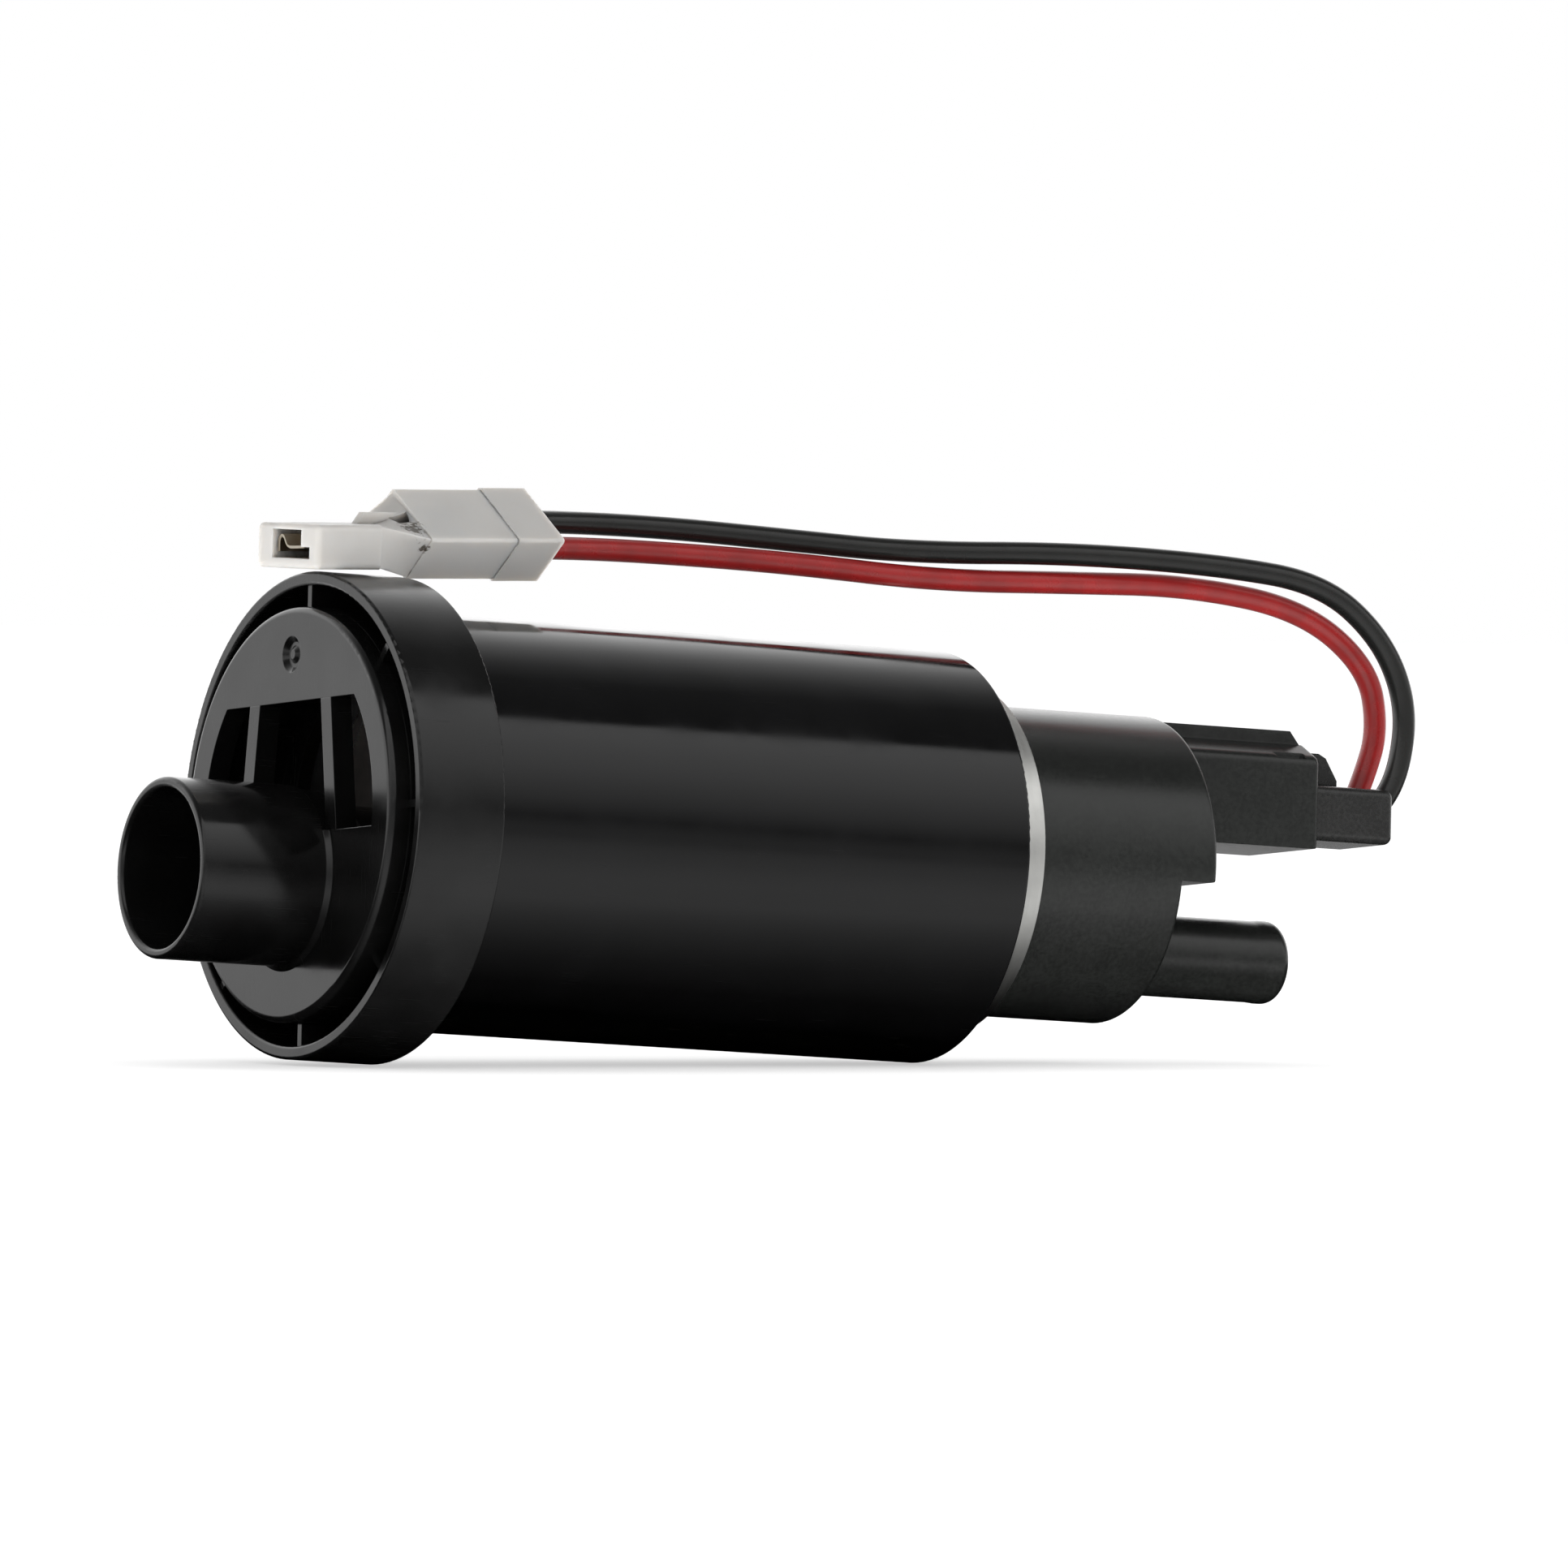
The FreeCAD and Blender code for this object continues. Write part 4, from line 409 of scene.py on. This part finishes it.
def link_nodes(tree, *pairs):
    for output, target in pairs:
        tree.links.new(output, target)


def fill_ramp(node, stops):
    elements = node.color_ramp.elements
    while len(elements) < len(stops):
        elements.new(1.0)
    for element, (place, level) in zip(elements, stops):
        element.position = place
        element.color = (level, level, level, 1)


def studio_world():
    """White where the camera looks, softbox, ceiling and wall in reflections, and even light elsewhere."""
    world = bpy.data.worlds.new("studio")
    bpy.context.scene.world = world
    world.use_nodes = True
    tree = world.node_tree
    tree.nodes.clear()
    place = tree.nodes.new("ShaderNodeTexCoord")
    parts = tree.nodes.new("ShaderNodeSeparateXYZ")
    away = tree.nodes.new("ShaderNodeMath")
    away.operation = "MULTIPLY"
    away.inputs[1].default_value = -1
    angle = tree.nodes.new("ShaderNodeMath")
    angle.operation = "ARCTAN2"
    share = tree.nodes.new("ShaderNodeMapRange")
    share.inputs["From Min"].default_value = -math.pi
    share.inputs["From Max"].default_value = math.pi
    ramp = tree.nodes.new("ShaderNodeValToRGB")
    fill_ramp(ramp, [((degrees + 180) / 360, level) for degrees, level in STUDIO])
    studio = tree.nodes.new("ShaderNodeBackground")
    white = tree.nodes.new("ShaderNodeBackground")
    white.inputs["Color"].default_value = (1, 1, 1, 1)
    path = tree.nodes.new("ShaderNodeLightPath")
    seen = tree.nodes.new("ShaderNodeMath")
    seen.operation = "MAXIMUM"
    plain = tree.nodes.new("ShaderNodeMath")
    plain.operation = "MAXIMUM"
    level = tree.nodes.new("ShaderNodeMapRange")
    level.inputs["To Min"].default_value = 1
    level.inputs["To Max"].default_value = SOFT_LIGHT
    mix = tree.nodes.new("ShaderNodeMixShader")
    out = tree.nodes.new("ShaderNodeOutputWorld")
    link_nodes(tree, (place.outputs["Generated"], parts.inputs[0]), (parts.outputs["Y"], away.inputs[0]),
               (parts.outputs["Z"], angle.inputs[0]), (away.outputs[0], angle.inputs[1]),
               (angle.outputs[0], share.inputs["Value"]), (share.outputs[0], ramp.inputs[0]),
               (ramp.outputs[0], studio.inputs["Color"]), (path.outputs["Is Camera Ray"], seen.inputs[0]),
               (path.outputs["Is Transmission Ray"], seen.inputs[1]), (seen.outputs[0], plain.inputs[0]),
               (path.outputs["Is Diffuse Ray"], plain.inputs[1]), (plain.outputs[0], mix.inputs[0]),
               (path.outputs["Is Diffuse Ray"], level.inputs["Value"]),
               (level.outputs[0], white.inputs["Strength"]),
               (studio.outputs[0], mix.inputs[1]), (white.outputs[0], mix.inputs[2]),
               (mix.outputs[0], out.inputs["Surface"]))


def lamps():
    for name, (place, side, power) in LAMPS.items():
        data = bpy.data.lights.new(name, "AREA")
        data.size = side
        data.energy = power
        lamp = bpy.data.objects.new(name, data)
        bpy.context.scene.collection.objects.link(lamp)
        lamp.visible_glossy = False
        turn = (Vector(place) - LAMP_AIM).to_track_quat("Z", "Y").to_matrix().to_4x4()
        lamp.matrix_world = Matrix.Translation(Vector(place)) @ turn


def floor():
    """A pale floor that keeps the object's shadow and hides from a camera below it; glossy surfaces see
    painted light and a painted shadow of the pump on it instead.
    """
    mesh = bpy.data.meshes.new("floor")
    half = FLOOR_SIZE / 2
    corners = [(-half, -half, 0), (half, -half, 0), (half, half, 0), (-half, half, 0)]
    mesh.from_pydata(corners, [], [(0, 1, 2, 3)])
    plane = bpy.data.objects.new("floor", mesh)
    bpy.context.scene.collection.objects.link(plane)
    turn = FLOOR_NORMAL.to_track_quat("Z", "Y").to_matrix().to_4x4()
    plane.matrix_world = Matrix.Translation(-FLOOR_NORMAL * FLOOR_DROP) @ turn

    material = bpy.data.materials.new("floor_paper")
    material.use_nodes = True
    mesh.materials.append(material)
    tree = material.node_tree
    tree.nodes.clear()
    paper = tree.nodes.new("ShaderNodeBsdfDiffuse")
    paper.inputs["Color"].default_value = (FLOOR_COLOUR, FLOOR_COLOUR, FLOOR_COLOUR, 1)
    glow = tree.nodes.new("ShaderNodeEmission")
    lift = tree.nodes.new("ShaderNodeMath")
    lift.operation = "MULTIPLY"
    lift.inputs[1].default_value = FLOOR_GLOW
    path = tree.nodes.new("ShaderNodeLightPath")
    bounce = tree.nodes.new("ShaderNodeMath")
    bounce.operation = "MULTIPLY_ADD"
    bounce.inputs[1].default_value = FLOOR_BOUNCE
    both = tree.nodes.new("ShaderNodeAddShader")
    clear = tree.nodes.new("ShaderNodeBsdfTransparent")
    side = tree.nodes.new("ShaderNodeNewGeometry")
    parts = tree.nodes.new("ShaderNodeSeparateXYZ")
    # Glossy surfaces see painted light on the floor and a painted shadow under and behind the pump, set by
    # place along Y.
    share = tree.nodes.new("ShaderNodeMapRange")
    share.inputs["From Min"].default_value = -FLOOR_PAINTED_LIGHT_REACH * MM
    share.inputs["From Max"].default_value = FLOOR_PAINTED_LIGHT_REACH * MM
    ramp = tree.nodes.new("ShaderNodeValToRGB")
    fill_ramp(ramp, [((y / FLOOR_PAINTED_LIGHT_REACH + 1) / 2, level) for y, level in FLOOR_PAINTED_LIGHT_AND_SHADOW])
    painted_light_and_shadow = tree.nodes.new("ShaderNodeEmission")
    shown = tree.nodes.new("ShaderNodeMixShader")
    mix = tree.nodes.new("ShaderNodeMixShader")
    out = tree.nodes.new("ShaderNodeOutputMaterial")
    link_nodes(tree, (side.outputs["Position"], parts.inputs[0]), (parts.outputs["Y"], share.inputs["Value"]),
               (share.outputs[0], ramp.inputs[0]), (ramp.outputs[0], painted_light_and_shadow.inputs["Color"]),
               (path.outputs["Is Camera Ray"], lift.inputs[0]),
               (path.outputs["Is Diffuse Ray"], bounce.inputs[0]),
               (lift.outputs[0], bounce.inputs[2]), (bounce.outputs[0], glow.inputs["Strength"]),
               (paper.outputs[0], both.inputs[0]), (glow.outputs[0], both.inputs[1]),
               (path.outputs["Is Glossy Ray"], shown.inputs[0]), (both.outputs[0], shown.inputs[1]),
               (painted_light_and_shadow.outputs[0], shown.inputs[2]), (side.outputs["Backfacing"], mix.inputs[0]),
               (shown.outputs[0], mix.inputs[1]), (clear.outputs[0], mix.inputs[2]),
               (mix.outputs[0], out.inputs["Surface"]))


def camera():
    data = bpy.data.cameras.new("camera")
    data.lens = CAMERA_LENS
    data.sensor_width = CAMERA_SENSOR
    cam = bpy.data.objects.new("camera", data)
    bpy.context.scene.collection.objects.link(cam)
    right, up = CAMERA_RIGHT.normalized(), CAMERA_UP.normalized()
    view = CAMERA_VIEW.normalized()
    turn = Matrix((right, up, -view)).transposed().to_4x4()
    along, height, away = CAMERA_PLACE
    cam.matrix_world = Matrix.Translation(right * along + up * height + view * away) @ turn
    bpy.context.scene.camera = cam


studio_world()
lamps()
floor()
camera()
bpy.context.scene.view_settings.view_transform = "Standard"
